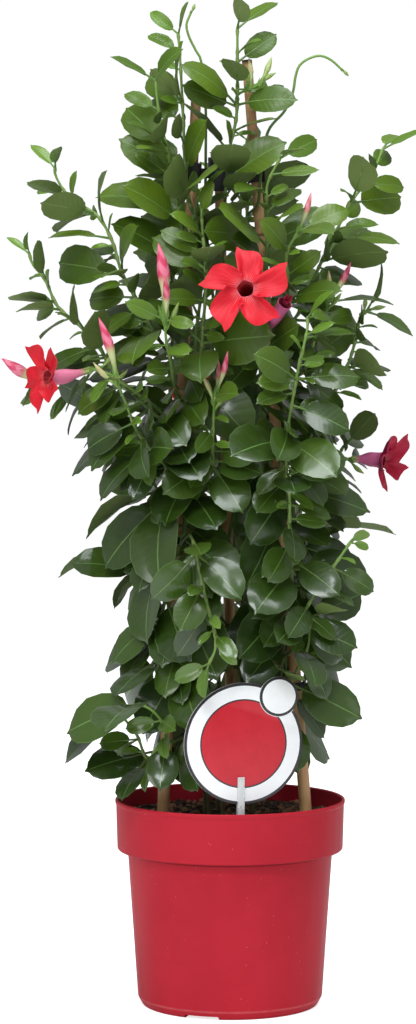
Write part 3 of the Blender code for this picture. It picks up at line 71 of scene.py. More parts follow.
lens_data = bpy.data.cameras.new("camera")
lens_data.sensor_fit = "VERTICAL"
lens_data.sensor_height = SENSOR_HEIGHT
lens_data.lens = LENS
camera = bpy.data.objects.new("camera", lens_data)
camera.location = CAMERA_PLACE
camera.rotation_euler = (math.radians(90) - CAMERA_DIP, 0, 0)
show(camera)
bpy.context.scene.camera = camera

# %% [markdown]
# ## Floor and light
# The plant was photographed on white, under soft light from above and in front, which lays broad
# pale highlights on the leaves. A white world fills the shadows, one large panel overhead and one
# high in front give the leaves their shine, and two upright ones model the pot's roundness.

# %% Lay the floor and hang the lights
FLOOR_SIZE = 14.0
bpy.ops.object.select_all(action="DESELECT")
bpy.ops.mesh.primitive_plane_add(size=FLOOR_SIZE, location=(0, 4.4, -0.0002))
floor = bpy.context.object
floor.name = "floor"
bpy.ops.object.transform_apply(location=True, rotation=True, scale=True)

scene = bpy.context.scene
scene.view_settings.view_transform = "Standard"
world = bpy.data.worlds.new("studio")
scene.world = world
world.use_nodes = True
world.node_tree.nodes["Background"].inputs["Color"].default_value = (0.97, 0.985, 1.0, 1.0)


def hang_light(name, place, target, size, power, colour=(1.0, 1.0, 1.0)):
    """A soft panel of light that faces a point."""
    data = bpy.data.lights.new(name, "AREA")
    data.shape = "RECTANGLE"
    data.size, data.size_y = size
    data.energy = power
    data.color = colour
    lamp = bpy.data.objects.new(name, data)
    lamp.location = place
    lamp.rotation_euler = (Vector(target) - Vector(place)).to_track_quat("-Z", "Y").to_euler()
    show(lamp)


hang_light("overhead", (0.1, -0.5, 2.3), (0, 0, 0.4), (1.5, 1.2), 42, (0.92, 0.97, 1.0))
hang_light("front_high", (-0.5, -2.1, 2.0), (0, 0, 0.35), (1.2, 0.5), 24, (0.92, 0.97, 1.0))
hang_light("left_front", (-1.6, -1.7, 1.0), (0, 0, 0.35), (0.6, 1.4), 12)
hang_light("right_front", (1.8, -1.6, 1.0), (0, 0, 0.35), (0.6, 1.4), 2.5)

# %% [markdown]
# ## Helpers for modelling
# Operators act on whatever is selected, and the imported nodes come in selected, so every step
# starts by clearing the selection. A finished piece has its place in its mesh, so its transform is
# applied, and then it rides on the part's one body.

# %% Define the modelling helpers


def clear_selection():
    if bpy.context.object and bpy.context.object.mode != "OBJECT":
        bpy.ops.object.mode_set(mode="OBJECT")
    bpy.ops.object.select_all(action="DESELECT")


def choose(obj):
    """Makes one object the selected and active one."""
    clear_selection()
    obj.select_set(True)
    bpy.context.view_layer.objects.active = obj


def apply_modifiers(obj):
    choose(obj)
    for modifier in list(obj.modifiers):
        bpy.ops.object.modifier_apply(modifier=modifier.name)


def settle(obj, name):
    """Names a new primitive and moves its place into its mesh."""
    choose(obj)
    obj.name = name
    obj.data.name = name
    bpy.ops.object.transform_apply(location=True, rotation=True, scale=True)
    return obj


def smooth(obj, angle=40):
    choose(obj)
    bpy.ops.object.shade_smooth_by_angle(angle=math.radians(angle))


def dress(obj, material, slot, *nodes):
    """Gives a piece its finish, lets it ride on the part and hides the nodes that it stands for."""
    if material:
        obj.data.materials.clear()
        obj.data.materials.append(material)
    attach(obj, "root")
    if nodes:
        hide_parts(*nodes)
    faces = sum(len(face.vertices) - 2 for face in obj.data.polygons)
    print(obj.name, faces, "triangles")


def add_cylinder(name, foot, top, radius, sides):
    """A closed cylinder between two points."""
    axis = top - foot
    turn = axis.to_track_quat("Z", "Y").to_euler()
    clear_selection()
    bpy.ops.mesh.primitive_cone_add(
        vertices=sides, radius1=radius, radius2=radius, depth=axis.length,
        location=(foot + top) / 2, rotation=turn)
    return settle(bpy.context.object, name)


def add_box(name, centre, size, turn=0.0):
    clear_selection()
    bpy.ops.mesh.primitive_cube_add(size=1, location=centre, rotation=(0, 0, turn), scale=size)
    return settle(bpy.context.object, name)


def cut(obj, cutter, operation="DIFFERENCE"):
    """Cuts one object out of another, or joins it on, and removes it."""
    modifier = obj.modifiers.new("Cut", "BOOLEAN")
    modifier.operation = operation
    modifier.object = cutter
    apply_modifiers(obj)
    bpy.data.objects.remove(cutter)


def round_edges(obj, width, segments=3, angle=30):
    modifier = obj.modifiers.new("Round", "BEVEL")
    modifier.width = width
    modifier.segments = segments
    modifier.limit_method = "ANGLE"
    modifier.angle_limit = math.radians(angle)
    apply_modifiers(obj)


def weld(reach):
    """Joins points that lie together, turns every face outward and ends the editing."""
    bpy.ops.mesh.select_all(action="SELECT")
    bpy.ops.mesh.remove_doubles(threshold=reach)
    bpy.ops.mesh.normals_make_consistent(inside=False)
    bpy.ops.object.mode_set(mode="OBJECT")


def turned(name, outline, segments):
    """A turned piece: its half section is drawn by extruding one point, then spun round the Z axis."""
    clear_selection()
    first = Vector((outline[0][0], 0, outline[0][1]))
    bpy.ops.mesh.primitive_plane_add(size=0.001, location=first)
    obj = settle(bpy.context.object, name)
    bpy.ops.object.mode_set(mode="EDIT")
    bpy.ops.mesh.select_all(action="SELECT")
    bpy.ops.mesh.merge(type="CENTER")
    here = first
    for radius, height in outline[1:]:
        there = Vector((radius, 0, height))
        bpy.ops.mesh.extrude_region_move(TRANSFORM_OT_translate={"value": there - here})
        here = there
    bpy.ops.mesh.select_all(action="SELECT")
    bpy.ops.mesh.spin(steps=segments, angle=math.tau, center=(0, 0, 0), axis=(0, 0, 1))
    weld(0.00002)
    return obj


# %% [markdown]
# ## Helpers for finishes
# A material is a small network of nodes. These helpers keep each network readable: one joins a
# value or a socket to an input, the others add the few kinds of node that the finishes use.

# %% Define the finish helpers


def join(tree, socket, value):
    """Links a socket to an input, or sets the input to a plain value."""
    if isinstance(value, bpy.types.NodeSocket):
        tree.links.new(value, socket)
    else:
        socket.default_value = value


def sum_up(tree, operation, *values):
    """A Math node of the named operation."""
    node = tree.nodes.new("ShaderNodeMath")
    node.operation = operation
    for socket, value in zip(node.inputs, values):
        join(tree, socket, value)
    return node.outputs[0]


def times(tree, first, second):
    return sum_up(tree, "MULTIPLY", first, second)


def plus(tree, first, second):
    return sum_up(tree, "ADD", first, second)


def apart(tree, first, second):
    """How far apart two values are."""
    return sum_up(tree, "ABSOLUTE", sum_up(tree, "SUBTRACT", first, second))


def ramp(tree, value, low, high, start=0.0, end=1.0):
    """Spreads the range low to high smoothly over start to end."""
    node = tree.nodes.new("ShaderNodeMapRange")
    node.interpolation_type = "SMOOTHSTEP"
    for name, number in (("From Min", low), ("From Max", high), ("To Min", start), ("To Max", end)):
        node.inputs[name].default_value = number
    join(tree, node.inputs["Value"], value)
    return node.outputs["Result"]


def blend(tree, share, first, second):
    """Mixes two colours."""
    node = tree.nodes.new("ShaderNodeMix")
    node.data_type = "RGBA"
    join(tree, node.inputs["Factor"], share)
    for socket, colour in ((node.inputs[6], first), (node.inputs[7], second)):
        join(tree, socket, colour if isinstance(colour, bpy.types.NodeSocket) else (*colour, 1.0))
    return node.outputs[2]


def own_place(tree):
    """Where a point of the object is."""
    return tree.nodes.new("ShaderNodeTexCoord").outputs["Object"]


def kept_place(tree, name):
    """The three values that a point attribute keeps, as one place."""
    node = tree.nodes.new("ShaderNodeAttribute")
    node.attribute_name = name
    return node.outputs["Vector"]


def split(tree, place):
    """The three parts of a place."""
    node = tree.nodes.new("ShaderNodeSeparateXYZ")
    tree.links.new(place, node.inputs[0])
    return node.outputs


def grain(tree, scale, detail=3.0, stretch=None, kind="noise", place=None):
    """Noise or cells, in cells a metre, on the object's own coordinates or on a kept place."""
    place = own_place(tree) if place is None else place
    if stretch:
        mapping = tree.nodes.new("ShaderNodeMapping")
        mapping.inputs["Scale"].default_value = stretch
        tree.links.new(place, mapping.inputs["Vector"])
        place = mapping.outputs["Vector"]
    node = tree.nodes.new("ShaderNodeTexNoise" if kind == "noise" else "ShaderNodeTexVoronoi")
    join(tree, node.inputs["Scale"], scale)
    if kind == "noise":
        node.inputs["Detail"].default_value = detail
    tree.links.new(place, node.inputs["Vector"])
    return node.outputs[0]


def attribute(tree, name):
    """The three values of a point attribute."""
    return split(tree, kept_place(tree, name))


def height_above_floor(tree):
    """The height of a point of the object, which stands with its foot at zero."""
    return split(tree, own_place(tree))["Z"]


def paint(tree, shader, colour):
    join(tree, shader.inputs["Base Color"], colour)


def bump(tree, shader, height, distance, strength):
    node = tree.nodes.new("ShaderNodeBump")
    node.inputs["Strength"].default_value = strength
    node.inputs["Distance"].default_value = distance
    join(tree, node.inputs["Height"], height)
    tree.links.new(node.outputs["Normal"], shader.inputs["Normal"])


def new_finish(name, **settings):
    """A material with a Principled shader, and plain values set on its own sockets."""
    material = bpy.data.materials.new(name)
    material.use_nodes = True
    tree = material.node_tree
    shader = tree.nodes["Principled BSDF"]
    for key, value in settings.items():
        shader.inputs[key.replace("_", " ")].default_value = value
    return material, tree, shader


# %% [markdown]
# ## Shared effects
# Soft blotches and fine specks turn up in nearly every finish here: dust on the pot, mottling on
# the canes, sun flecks on the leaves. Each is one node group, built once, and every material sets
# its own scale.

# %% Build the shared node groups


def new_group(name, inputs, outputs):
    group = bpy.data.node_groups.new(name, "ShaderNodeTree")
    for label, kind, value in inputs:
        socket = group.interface.new_socket(name=label, in_out="INPUT", socket_type=kind)
        if value is not None:
            socket.default_value = value
    for label in outputs:
        group.interface.new_socket(name=label, in_out="OUTPUT", socket_type="NodeSocketFloat")
    return group, group.nodes.new("NodeGroupInput"), group.nodes.new("NodeGroupOutput")


def place_group(tree, group, **values):
    node = tree.nodes.new("ShaderNodeGroup")
    node.node_tree = group
    for name, value in values.items():
        join(tree, node.inputs[name], value)
    return node.outputs


def make_blotches():
    """Large soft patches with a smaller pattern in them."""
    group, given, made = new_group("blotches", [("Scale", "NodeSocketFloat", 20.0)], ["Mask"])
    large = grain(group, given.outputs["Scale"], 2.0)
    fine = grain(group, times(group, given.outputs["Scale"], 6.0), 4.0)
    both = plus(group, times(group, large, 0.7), times(group, fine, 0.3))
    group.links.new(ramp(group, both, 0.36, 0.64), made.inputs["Mask"])
    return group


def make_specks():
    """Small scattered dots: cells whose middles are kept where a slow noise allows it."""
    inputs = [("Scale", "NodeSocketFloat", 300.0), ("Size", "NodeSocketFloat", 0.2)]
    group, given, made = new_group("specks", inputs, ["Mask"])
    far = grain(group, given.outputs["Scale"], kind="cells")
    dot = sum_up(group, "LESS_THAN", far, given.outputs["Size"])
    some = ramp(group, grain(group, times(group, given.outputs["Scale"], 0.21), 2.0), 0.52, 0.60)
    group.links.new(times(group, dot, some), made.inputs["Mask"])
    return group


BLOTCHES = make_blotches()
SPECKS = make_specks()


def blotches(tree, scale):
    return place_group(tree, BLOTCHES, Scale=scale)["Mask"]


# %% [markdown]
# ## Floor and backdrop
# The photograph's ground is pure white. The floor is a pale sweep that glows a little where the
# camera sees it, and the world is bright white to the camera but a softer fill for the plant.

# %% Finish the floor and the backdrop
FLOOR_GLOW = 0.75
WORLD_FILL = 0.30
pale, tree, shader = new_finish("pale_sweep", Roughness=0.9)
patches = blotches(tree, 1.5)
paint(tree, shader, blend(tree, patches, (0.90, 0.90, 0.90), (0.93, 0.93, 0.93)))
shader.inputs["Emission Color"].default_value = (1.0, 1.0, 1.0, 1.0)
seen = tree.nodes.new("ShaderNodeLightPath").outputs["Is Camera Ray"]
join(tree, shader.inputs["Emission Strength"], times(tree, seen, FLOOR_GLOW))
floor.data.materials.append(pale)

tree = world.node_tree
seen = tree.nodes.new("ShaderNodeLightPath").outputs["Is Camera Ray"]
strength = plus(tree, WORLD_FILL, times(tree, seen, 1.05 - WORLD_FILL))
join(tree, tree.nodes["Background"].inputs["Strength"], strength)

# %% [markdown]
# ## Pot
# A nursery pot is moulded in thin plastic: a rolled lip, a straight collar, a step in, a tapering
# body and a foot ring with notches that let water out. A turned section with small rounds on its
# corners gives the highlights of a moulding, which a plain cylinder can't. The drain holes and the
# notches are cut afterwards.

# %% Turn the pot
POT_HEIGHT = 0.1525
RIM_RADIUS = 0.0850
LIP_HEIGHT = 0.0030
COLLAR_TOP_RADIUS = 0.0843
COLLAR_RADIUS = 0.0834
COLLAR_DEPTH = 0.0365
BODY_TOP_RADIUS = 0.0757
BODY_FOOT_RADIUS = 0.0682
FOOT_LINE = 0.0060
FOOT_RADIUS = 0.0646
FOOT_WIDTH = 0.0066
WALL = 0.0016
FLOOR_LIFT = 0.0032
PAD_RADIUS = 0.0220
POT_STEPS = 128


def pot_outline():
    """The pot's wall in section, from the middle of its floor up, over the rim and round under."""
    ledge = POT_HEIGHT - COLLAR_DEPTH
    floor = FLOOR_LIFT + WALL
    ring_inner = FOOT_RADIUS - FOOT_WIDTH
    return [
        (0.0, floor), (BODY_FOOT_RADIUS - WALL - 0.0008, floor), (BODY_FOOT_RADIUS - WALL, FOOT_LINE),
        (BODY_TOP_RADIUS - WALL, ledge - 0.0012), (COLLAR_RADIUS - WALL, ledge + 0.0006),
        (COLLAR_TOP_RADIUS - WALL, POT_HEIGHT - 0.0006), (RIM_RADIUS - 0.0008, POT_HEIGHT),
        (RIM_RADIUS, POT_HEIGHT - 0.0008), (RIM_RADIUS - 0.0001, POT_HEIGHT - LIP_HEIGHT),
        (COLLAR_TOP_RADIUS, POT_HEIGHT - LIP_HEIGHT - 0.0005), (COLLAR_RADIUS, ledge),
        (COLLAR_RADIUS - 0.0010, ledge - 0.0010), (BODY_TOP_RADIUS, ledge - 0.0016),
        (BODY_FOOT_RADIUS, FOOT_LINE), (FOOT_RADIUS + 0.0008, 0.0010), (FOOT_RADIUS, 0.0), (ring_inner, 0.0),
        (ring_inner - WALL / 2, FLOOR_LIFT), (PAD_RADIUS + WALL / 2, FLOOR_LIFT), (PAD_RADIUS, 0.0),
        (0.0, 0.0),
    ]


def rounded(outline, reach=0.0007, parts=3):
    """Rounds each corner of a section with a short curve."""
    marks = [Vector(point) for point in outline]
    line = [marks[0]]
    for before, corner, after in zip(marks, marks[1:], marks[2:]):
        back = min(reach, (before - corner).length * 0.4)
        on = min(reach, (after - corner).length * 0.4)
        start = corner + (before - corner).normalized() * back
        end = corner + (after - corner).normalized() * on
        for i in range(parts + 1):
            t = i / parts
            line.append(start * (1 - t) ** 2 + corner * (2 * t * (1 - t)) + end * t * t)
    return line + [marks[-1]]


pot = turned("pot_shell", rounded(pot_outline()), POT_STEPS)

# %% Cut the drain holes and the foot notches
DRAIN_HOLES = 6
DRAIN_RADIUS = 0.0035
DRAIN_CIRCLE = 0.0400
NOTCHES = 3
NOTCH_WIDTH = 0.0260
NOTCH_HEIGHT = 0.0024
NOTCH_FIRST_ANGLE = math.radians(251)
CUT_PAST = 0.002
for i in range(DRAIN_HOLES):
    angle = math.tau * (i + 0.5) / DRAIN_HOLES
    place = Vector((math.cos(angle) * DRAIN_CIRCLE, math.sin(angle) * DRAIN_CIRCLE, 0))
    cut(pot, add_cylinder("drain", place - UP * CUT_PAST, place + UP * 0.009, DRAIN_RADIUS, 20))
middle = FOOT_RADIUS - FOOT_WIDTH / 2
for i in range(NOTCHES):
    angle = NOTCH_FIRST_ANGLE + math.tau * i / NOTCHES
    centre = (math.cos(angle) * middle, math.sin(angle) * middle, NOTCH_HEIGHT / 2 - CUT_PAST)
    notch = add_box("notch", centre, (FOOT_WIDTH * 2.4, NOTCH_WIDTH, NOTCH_HEIGHT + 2 * CUT_PAST), angle)
    round_edges(notch, 0.001)
    cut(pot, notch)
smooth(pot, 35)

# %% [markdown]
# ## Red plastic
# The plastic is a strong satin red. Handling leaves faint upright streaks in its gloss and a few
# dust specks, and the mould's parting line near the foot is scuffed pale. A narrow band of painted
# shade darkens the body just under the collar, where the collar throws its shadow.

# %% Finish the pot
STEP_SHADE = 0.0016
pot_red, tree, shader = new_finish("pot_red", Specular_IOR_Level=0.09)
height = height_above_floor(tree)
patches = blotches(tree, 14.0)
dust = place_group(tree, SPECKS, Scale=170.0, Size=0.07)["Mask"]
streaks = grain(tree, 55.0, 3.0, stretch=(1, 1, 0.06))
scuff_line = ramp(tree, apart(tree, height, FOOT_LINE), 0.0004, 0.0012, 1.0, 0.0)
scuffs = times(tree, scuff_line, grain(tree, 260.0, 4.0))
colour = blend(tree, patches, (0.445, 0.017, 0.031), (0.490, 0.020, 0.035))
colour = blend(tree, times(tree, scuffs, 0.7), colour, (0.66, 0.16, 0.17))
colour = blend(tree, times(tree, dust, 0.4), colour, (0.70, 0.30, 0.28))
# Painted shade: a dark band on the body just under the collar, where the collar's edge shades it.
step_line = apart(tree, height, POT_HEIGHT - COLLAR_DEPTH - STEP_SHADE)
painted_collar_shade = ramp(tree, step_line, 0.0003, 0.0020, 0.75, 0.0)
colour = blend(tree, painted_collar_shade, colour, (0.110, 0.002, 0.006))
paint(tree, shader, colour)
join(tree, shader.inputs["Roughness"], ramp(tree, streaks, 0.3, 0.7, 0.34, 0.46))
bump(tree, shader, streaks, 0.0002, 0.35)
dress(pot, pot_red, "pot_red", "pot")

# %% [markdown]
# ## Soil
# Peat settles a finger's width under the rim, uneven and full of coarse brown crumbs. The solid's
# smooth top is made again as a finely divided disc that noise lifts and drops, and loose crumbs are
# sown over it with a seeded rule. Each crumb is a copy of one dented ball.

# %% Turn the soil and roughen its top
SOIL_LEVEL = 0.1400
GAP = 0.0003
SOIL_DEPTH = 0.020
SOIL_EDGE = 0.002
SOIL_STEPS = 96
SOIL_RINGS = 30
FREE_OF_WALL = 0.0004
UP_THE_COLLAR = 0.66
wall = WALL + GAP + FREE_OF_WALL
soil_radius = COLLAR_RADIUS + (COLLAR_TOP_RADIUS - COLLAR_RADIUS) * UP_THE_COLLAR - wall
outline = [(0.0, SOIL_LEVEL - SOIL_DEPTH), (soil_radius - SOIL_EDGE, SOIL_LEVEL - SOIL_DEPTH)]
outline.append((soil_radius, SOIL_LEVEL - SOIL_EDGE))
outline += [(soil_radius * (1 - i / SOIL_RINGS), SOIL_LEVEL) for i in range(SOIL_RINGS + 1)]
soil = turned("peat", outline, SOIL_STEPS)


def soil_height(x, y):
    """How far the soil stands above its level at a place."""
    spot = Vector((x, y, 0))
    swell = noise.noise(spot * 32) * 0.0022
    clods = noise.noise(spot * 150) * 0.0016 + noise.noise(spot * 420) * 0.0009
    return swell + clods - 0.0012 * spot.length_squared / soil_radius**2


for vert in soil.data.vertices:
    if vert.co.z > SOIL_LEVEL - 1e-5:
        vert.co.z += soil_height(vert.co.x, vert.co.y)
smooth(soil, 60)

# %% Model one crumb and sow its copies
CRUMBS = 760
SMALLEST_CRUMB = 0.0011
CRUMB_RANGE = 0.0034
rng = random.Random("crumbs")
clear_selection()
bpy.ops.mesh.primitive_ico_sphere_add(subdivisions=1, radius=1.0)
crumb = settle(bpy.context.object, "crumb")
for vert in crumb.data.vertices:
    vert.co *= 0.75 + 0.5 * noise.noise(vert.co * 1.7)

crumbs = bmesh.new()
for i in range(CRUMBS):
    reach = soil_radius * math.sqrt(rng.random()) * 0.97
    angle = rng.uniform(0, math.tau)
    x = reach * math.cos(angle)
    y = reach * math.sin(angle)
    size = SMALLEST_CRUMB + CRUMB_RANGE * rng.random() ** 2
    turn = Matrix.Rotation(rng.uniform(0, 6.28), 4, "Z") @ Matrix.Rotation(rng.uniform(-0.5, 0.5), 4, "X")
    spread = Matrix.Diagonal((size * rng.uniform(0.8, 1.8), size, size * rng.uniform(0.5, 0.9), 1))
    at = Matrix.Translation((x, y, SOIL_LEVEL + soil_height(x, y) + size * 0.2))
    before = len(crumbs.verts)
    crumbs.from_mesh(crumb.data)
    crumbs.verts.ensure_lookup_table()
    bmesh.ops.transform(crumbs, matrix=at @ turn @ spread, verts=crumbs.verts[before:])
crumb_mesh = bpy.data.meshes.new("crumbs")
crumbs.to_mesh(crumb_mesh)
crumbs.free()
bpy.data.objects.remove(crumb)
crumb_cover = bpy.data.objects.new("crumbs", crumb_mesh)
show(crumb_cover)
smooth(crumb_cover, 80)

# %% Finish the soil
peat, tree, shader = new_finish("peat", Roughness=0.95)
lumps = blotches(tree, 90.0)
fine = grain(tree, 900.0, 4.0)
colour = blend(tree, lumps, (0.018, 0.010, 0.007), (0.085, 0.045, 0.026))
colour = blend(tree, ramp(tree, fine, 0.56, 0.74), colour, (0.17, 0.095, 0.055))
paint(tree, shader, colour)
bump(tree, shader, fine, 0.0008, 0.8)
dress(soil, peat, "soil_peat", "soil")

crumb_brown, tree, shader = new_finish("crumb_brown", Roughness=0.9)
tints = grain(tree, 160.0, 1.0)
fine = grain(tree, 1200.0, 3.0)
colour = blend(tree, ramp(tree, tints, 0.42, 0.60), (0.045, 0.024, 0.015), (0.32, 0.165, 0.090))
paint(tree, shader, colour)
bump(tree, shader, fine, 0.0004, 0.6)
dress(crumb_cover, crumb_brown, "soil_peat")

# %% [markdown]
# ## Canes
# Bamboo is a tapering tube with a swollen ring every hand's width, sawn off square. A turned
# section drawn from foot to top gives the rings. Then the whole stick is leaned into place and its
# place is put into its mesh. The grain needs the cane's own length, so each cane keeps that as an
# attribute before it is leaned.

# %% Turn the canes
CANE_RADIUS = 0.0045
CANE_TOP_RADIUS = 0.0037
CANE_JOINT_PITCH = 0.170
CANE_JOINT_SWELL = 0.0005
CANE_FEET = {"left": (-51.5, -32, 95), "right": (59.2, -32.1, 95), "back": (4, 63.5, 95)}
CANE_TOPS = {"left": (-24, -10, 687), "right": (12, -8, 694), "back": (-8, 0, 617)}
CANE_STEPS = 28
CANE_RING_PITCH = 0.012
CANE_FIRST_JOINT = {"left": 0.55, "right": 0.8, "back": 0.35}


def keep_place(obj, name):
    """Keeps where each point is now, as an attribute that a finish can read."""
    data = obj.data.attributes.new(name, "FLOAT_VECTOR", "POINT")
    for vert, value in zip(obj.data.vertices, data.data):
        value.vector = vert.co


def cane_ends(cane):
    """The foot and the top of a cane's middle line, in metres."""
    return Vector(CANE_FEET[cane]) * MM, Vector(CANE_TOPS[cane]) * MM


def make_cane(cane):
    """A cane turned from foot to top, with the heights of its joints and its length."""
    foot, top = cane_ends(cane)
    length = (top - foot).length
    joints = []
    joint = CANE_JOINT_PITCH * CANE_FIRST_JOINT[cane]
    while joint < length - 0.02:
        joints.append(joint)
        joint += CANE_JOINT_PITCH
    plain = {i * CANE_RING_PITCH for i in range(1, int(length / CANE_RING_PITCH))}
    heights = sorted({0.0, length} | plain
                     | {j + d * 0.001 for j in joints for d in (-5, -2.4, -1.2, -0.4, 0.3, 1.0, 2.2, 4.6)})
    outline = [(0.0, 0.0)]
    for height in heights:
        radius = CANE_RADIUS + (CANE_TOP_RADIUS - CANE_RADIUS) * height / length
        for joint in joints:
            off = (height - joint) * 1000
            groove = 0.45 * math.exp(-((off + 2.4) / 0.8) ** 2)
            radius += CANE_JOINT_SWELL * (math.exp(-(off / 1.6) ** 2) - groove)
        outline.append((radius, height))
    outline.append((0.0, length))
    obj = turned("bamboo_" + cane, outline, CANE_STEPS)
    keep_place(obj, "along")
    obj.location = foot
    obj.rotation_euler = (top - foot).to_track_quat("Z", "Y").to_euler()
    settle(obj, "bamboo_" + cane)
    smooth(obj, 45)
    return obj, joints, length


# %% [markdown]
# ## Bamboo
# Split bamboo is tan with fine lengthwise fibres. It is dark in the groove under each node, with
# brown mottling that grows towards the top. The saw cut at the top is dark.

# %% Finish the canes


def bamboo_finish(name, joints, length, mottling):
    material, tree, shader = new_finish(name)
    place = kept_place(tree, "along")
    along = split(tree, place)
    fibres = grain(tree, 900.0, 3.0, (1, 1, 0.03), place=place)
    patches = grain(tree, 60.0, 3.0, (1, 1, 0.5), place=place)
    colour = blend(tree, fibres, (0.50, 0.27, 0.11), (0.68, 0.42, 0.20))
    high = ramp(tree, along["Z"], length * 0.35, length * 0.8)
    spots = times(tree, ramp(tree, patches, 0.46, 0.60), sum_up(tree, "MAXIMUM", high, mottling))
    colour = blend(tree, times(tree, spots, 0.75), colour, (0.20, 0.085, 0.035))
    for joint in joints:
        groove = ramp(tree, apart(tree, along["Z"], joint - 0.0024), 0.0004, 0.0016, 0.8, 0.0)
        colour = blend(tree, groove, colour, (0.13, 0.055, 0.025))
    sawn = ramp(tree, along["Z"], length - 0.004, length - 0.0005)
    colour = blend(tree, sawn, colour, (0.07, 0.035, 0.02))
    paint(tree, shader, colour)
    join(tree, shader.inputs["Roughness"], ramp(tree, patches, 0.3, 0.7, 0.42, 0.60))
    bump(tree, shader, fibres, 0.0002, 0.5)
    return material


MOTTLING = {"left": 0.25, "right": 0.15, "back": 0.4}
for cane in CANE_FEET:
    bamboo, joints, length = make_cane(cane)
    dress(bamboo, bamboo_finish("bamboo_" + cane, joints, length, MOTTLING[cane]), "bamboo", "cane_" + cane)


# %% [markdown]
# ## Spreader and ties
# A black moulded piece joins the canes near their tops: a cup on the back cane, and an arm with a
# snap clip for each front cane. Small snap bands hold the stems lower down. They are cut from
# cylinders and boxes, then every edge gets a small round, as a moulding has.

# %% Model the spreader and the ties
SPREADER_LEVEL = 0.612
CUP_RADIUS = 0.0082
CUP_HEIGHT = 0.0240
CLIP_WALL = 0.0018
CLIP_HEIGHT = 0.0140
CLIP_OPENING = 0.0052
ARM_WIDTH = 0.0044
ARM_HEIGHT = 0.0070
TIES = {"tie_left": ("left", 345), "tie_right": ("right", 238)}
TIE_WALL = 0.0014
TIE_HEIGHT = 0.0060


def cane_point(cane, height):
    """The middle of a cane at a height."""
    foot, top = cane_ends(cane)
    return foot.lerp(top, (height - foot.z) / (top.z - foot.z))


def along_cane(cane):
    return (Vector(CANE_TOPS[cane]) - Vector(CANE_FEET[cane])).normalized()


def cane_width(cane, height):
    """A cane's radius at a height, with its swelling."""
    foot = CANE_FEET[cane][2] * MM
    top = CANE_TOPS[cane][2] * MM
    return CANE_RADIUS + (CANE_TOP_RADIUS - CANE_RADIUS) * (height - foot) / (top - foot) + CANE_JOINT_SWELL


black, tree, shader = new_finish("black_plastic")
patches = blotches(tree, 60.0)
paint(tree, shader, blend(tree, patches, (0.008, 0.008, 0.009), (0.020, 0.020, 0.022)))
join(tree, shader.inputs["Roughness"], ramp(tree, patches, 0.0, 1.0, 0.34, 0.52))
bump(tree, shader, grain(tree, 1500.0, 2.0), 0.00008, 0.5)

centre = cane_point("back", SPREADER_LEVEL)
half = along_cane("back") * CUP_HEIGHT / 2
spreader = add_cylinder("cup_and_clips", centre - half, centre + half, CUP_RADIUS, 40)
holes = []
for cane in ("left", "right"):
    ring = cane_point(cane, SPREADER_LEVEL)
    rise = along_cane(cane) * CLIP_HEIGHT / 2
    inner = cane_width(cane, SPREADER_LEVEL) + GAP
    level = Vector((ring.x - centre.x, ring.y - centre.y, 0))
    turn = math.atan2(level.y, level.x)
    arm_length = level.length - CUP_RADIUS / 2 - inner
    cut(spreader, add_cylinder("clip", ring - rise, ring + rise, inner + CLIP_WALL, 36), "UNION")
    cut(spreader, add_box("arm", (centre + ring) / 2, (arm_length, ARM_WIDTH, ARM_HEIGHT), turn), "UNION")
    holes.append(add_cylinder("bore", ring - rise * 1.5, ring + rise * 1.5, inner, 32))
    mouth = ring + level.normalized() * (inner + CLIP_WALL)
    holes.append(add_box("mouth", mouth, (2 * inner, CLIP_OPENING, CLIP_HEIGHT * 1.6), turn))
tip = Vector(CANE_TOPS["back"]) * MM + along_cane("back") * GAP
holes.append(add_cylinder("cup_bore", centre - half * 1.2, tip, CANE_TOP_RADIUS + CANE_JOINT_SWELL + GAP, 32))
for hole in holes:
    cut(spreader, hole)
round_edges(spreader, 0.0005, 2, 40)
smooth(spreader, 35)
dress(spreader, black, "black_plastic", "spreader")

for name, (cane, height) in TIES.items():
    ring = cane_point(cane, height * MM)
    rise = along_cane(cane) * TIE_HEIGHT / 2
    inner = cane_width(cane, height * MM) + GAP
    band = add_cylinder("band_" + name, ring - rise, ring + rise, inner + TIE_WALL, 40)
    cut(band, add_cylinder("bore", ring - rise * 1.5, ring + rise * 1.5, inner, 36))
    cut(band, add_box("mouth", ring + Vector((0, inner + TIE_WALL, 0)), (inner, inner * 2, TIE_HEIGHT * 2)))
    round_edges(band, 0.0004, 2, 40)
    smooth(band, 35)
    dress(band, black, "black_plastic", name)


# %% [markdown]
# ## Label
# The round card carries a ring and a disc of colour and a small round tab at its upper right. Real
# ones are printed with a name. This one is left plain, with the same bands of colour. The bands
# follow the card's own face, so its points keep their flat place before the card is turned.

# %% Model the card and its stake
LABEL_CENTRE = (9, -72, 202)
LABEL_RADIUS = 0.0438
LABEL_THICKNESS = 0.0016
LABEL_TURN = math.radians(14)
TAB_PLACE = (0.0262, 0.0332)
TAB_RADIUS = 0.0142
STAKE_PLACE = -0.0020
STAKE_WIDTH = 0.0052
STAKE_THICKNESS = 0.0046
STAKE_TOP = 0.1780
STAKE_FOOT = 0.1215
label_centre = Vector(LABEL_CENTRE) * MM
toward = Vector((0, -1, 0)) * LABEL_THICKNESS / 2
card = add_cylinder("plant_card", -toward, toward, LABEL_RADIUS, 96)
tab_centre = Vector((TAB_PLACE[0], -0.0002, TAB_PLACE[1]))
cut(card, add_cylinder("tab", tab_centre - toward, tab_centre + toward * 1.3, TAB_RADIUS, 64), "UNION")
round_edges(card, 0.0003, 2, 40)
keep_place(card, "face")
card.rotation_euler = (0, 0, LABEL_TURN)
card.location = label_centre
settle(card, "plant_card")
smooth(card, 40)

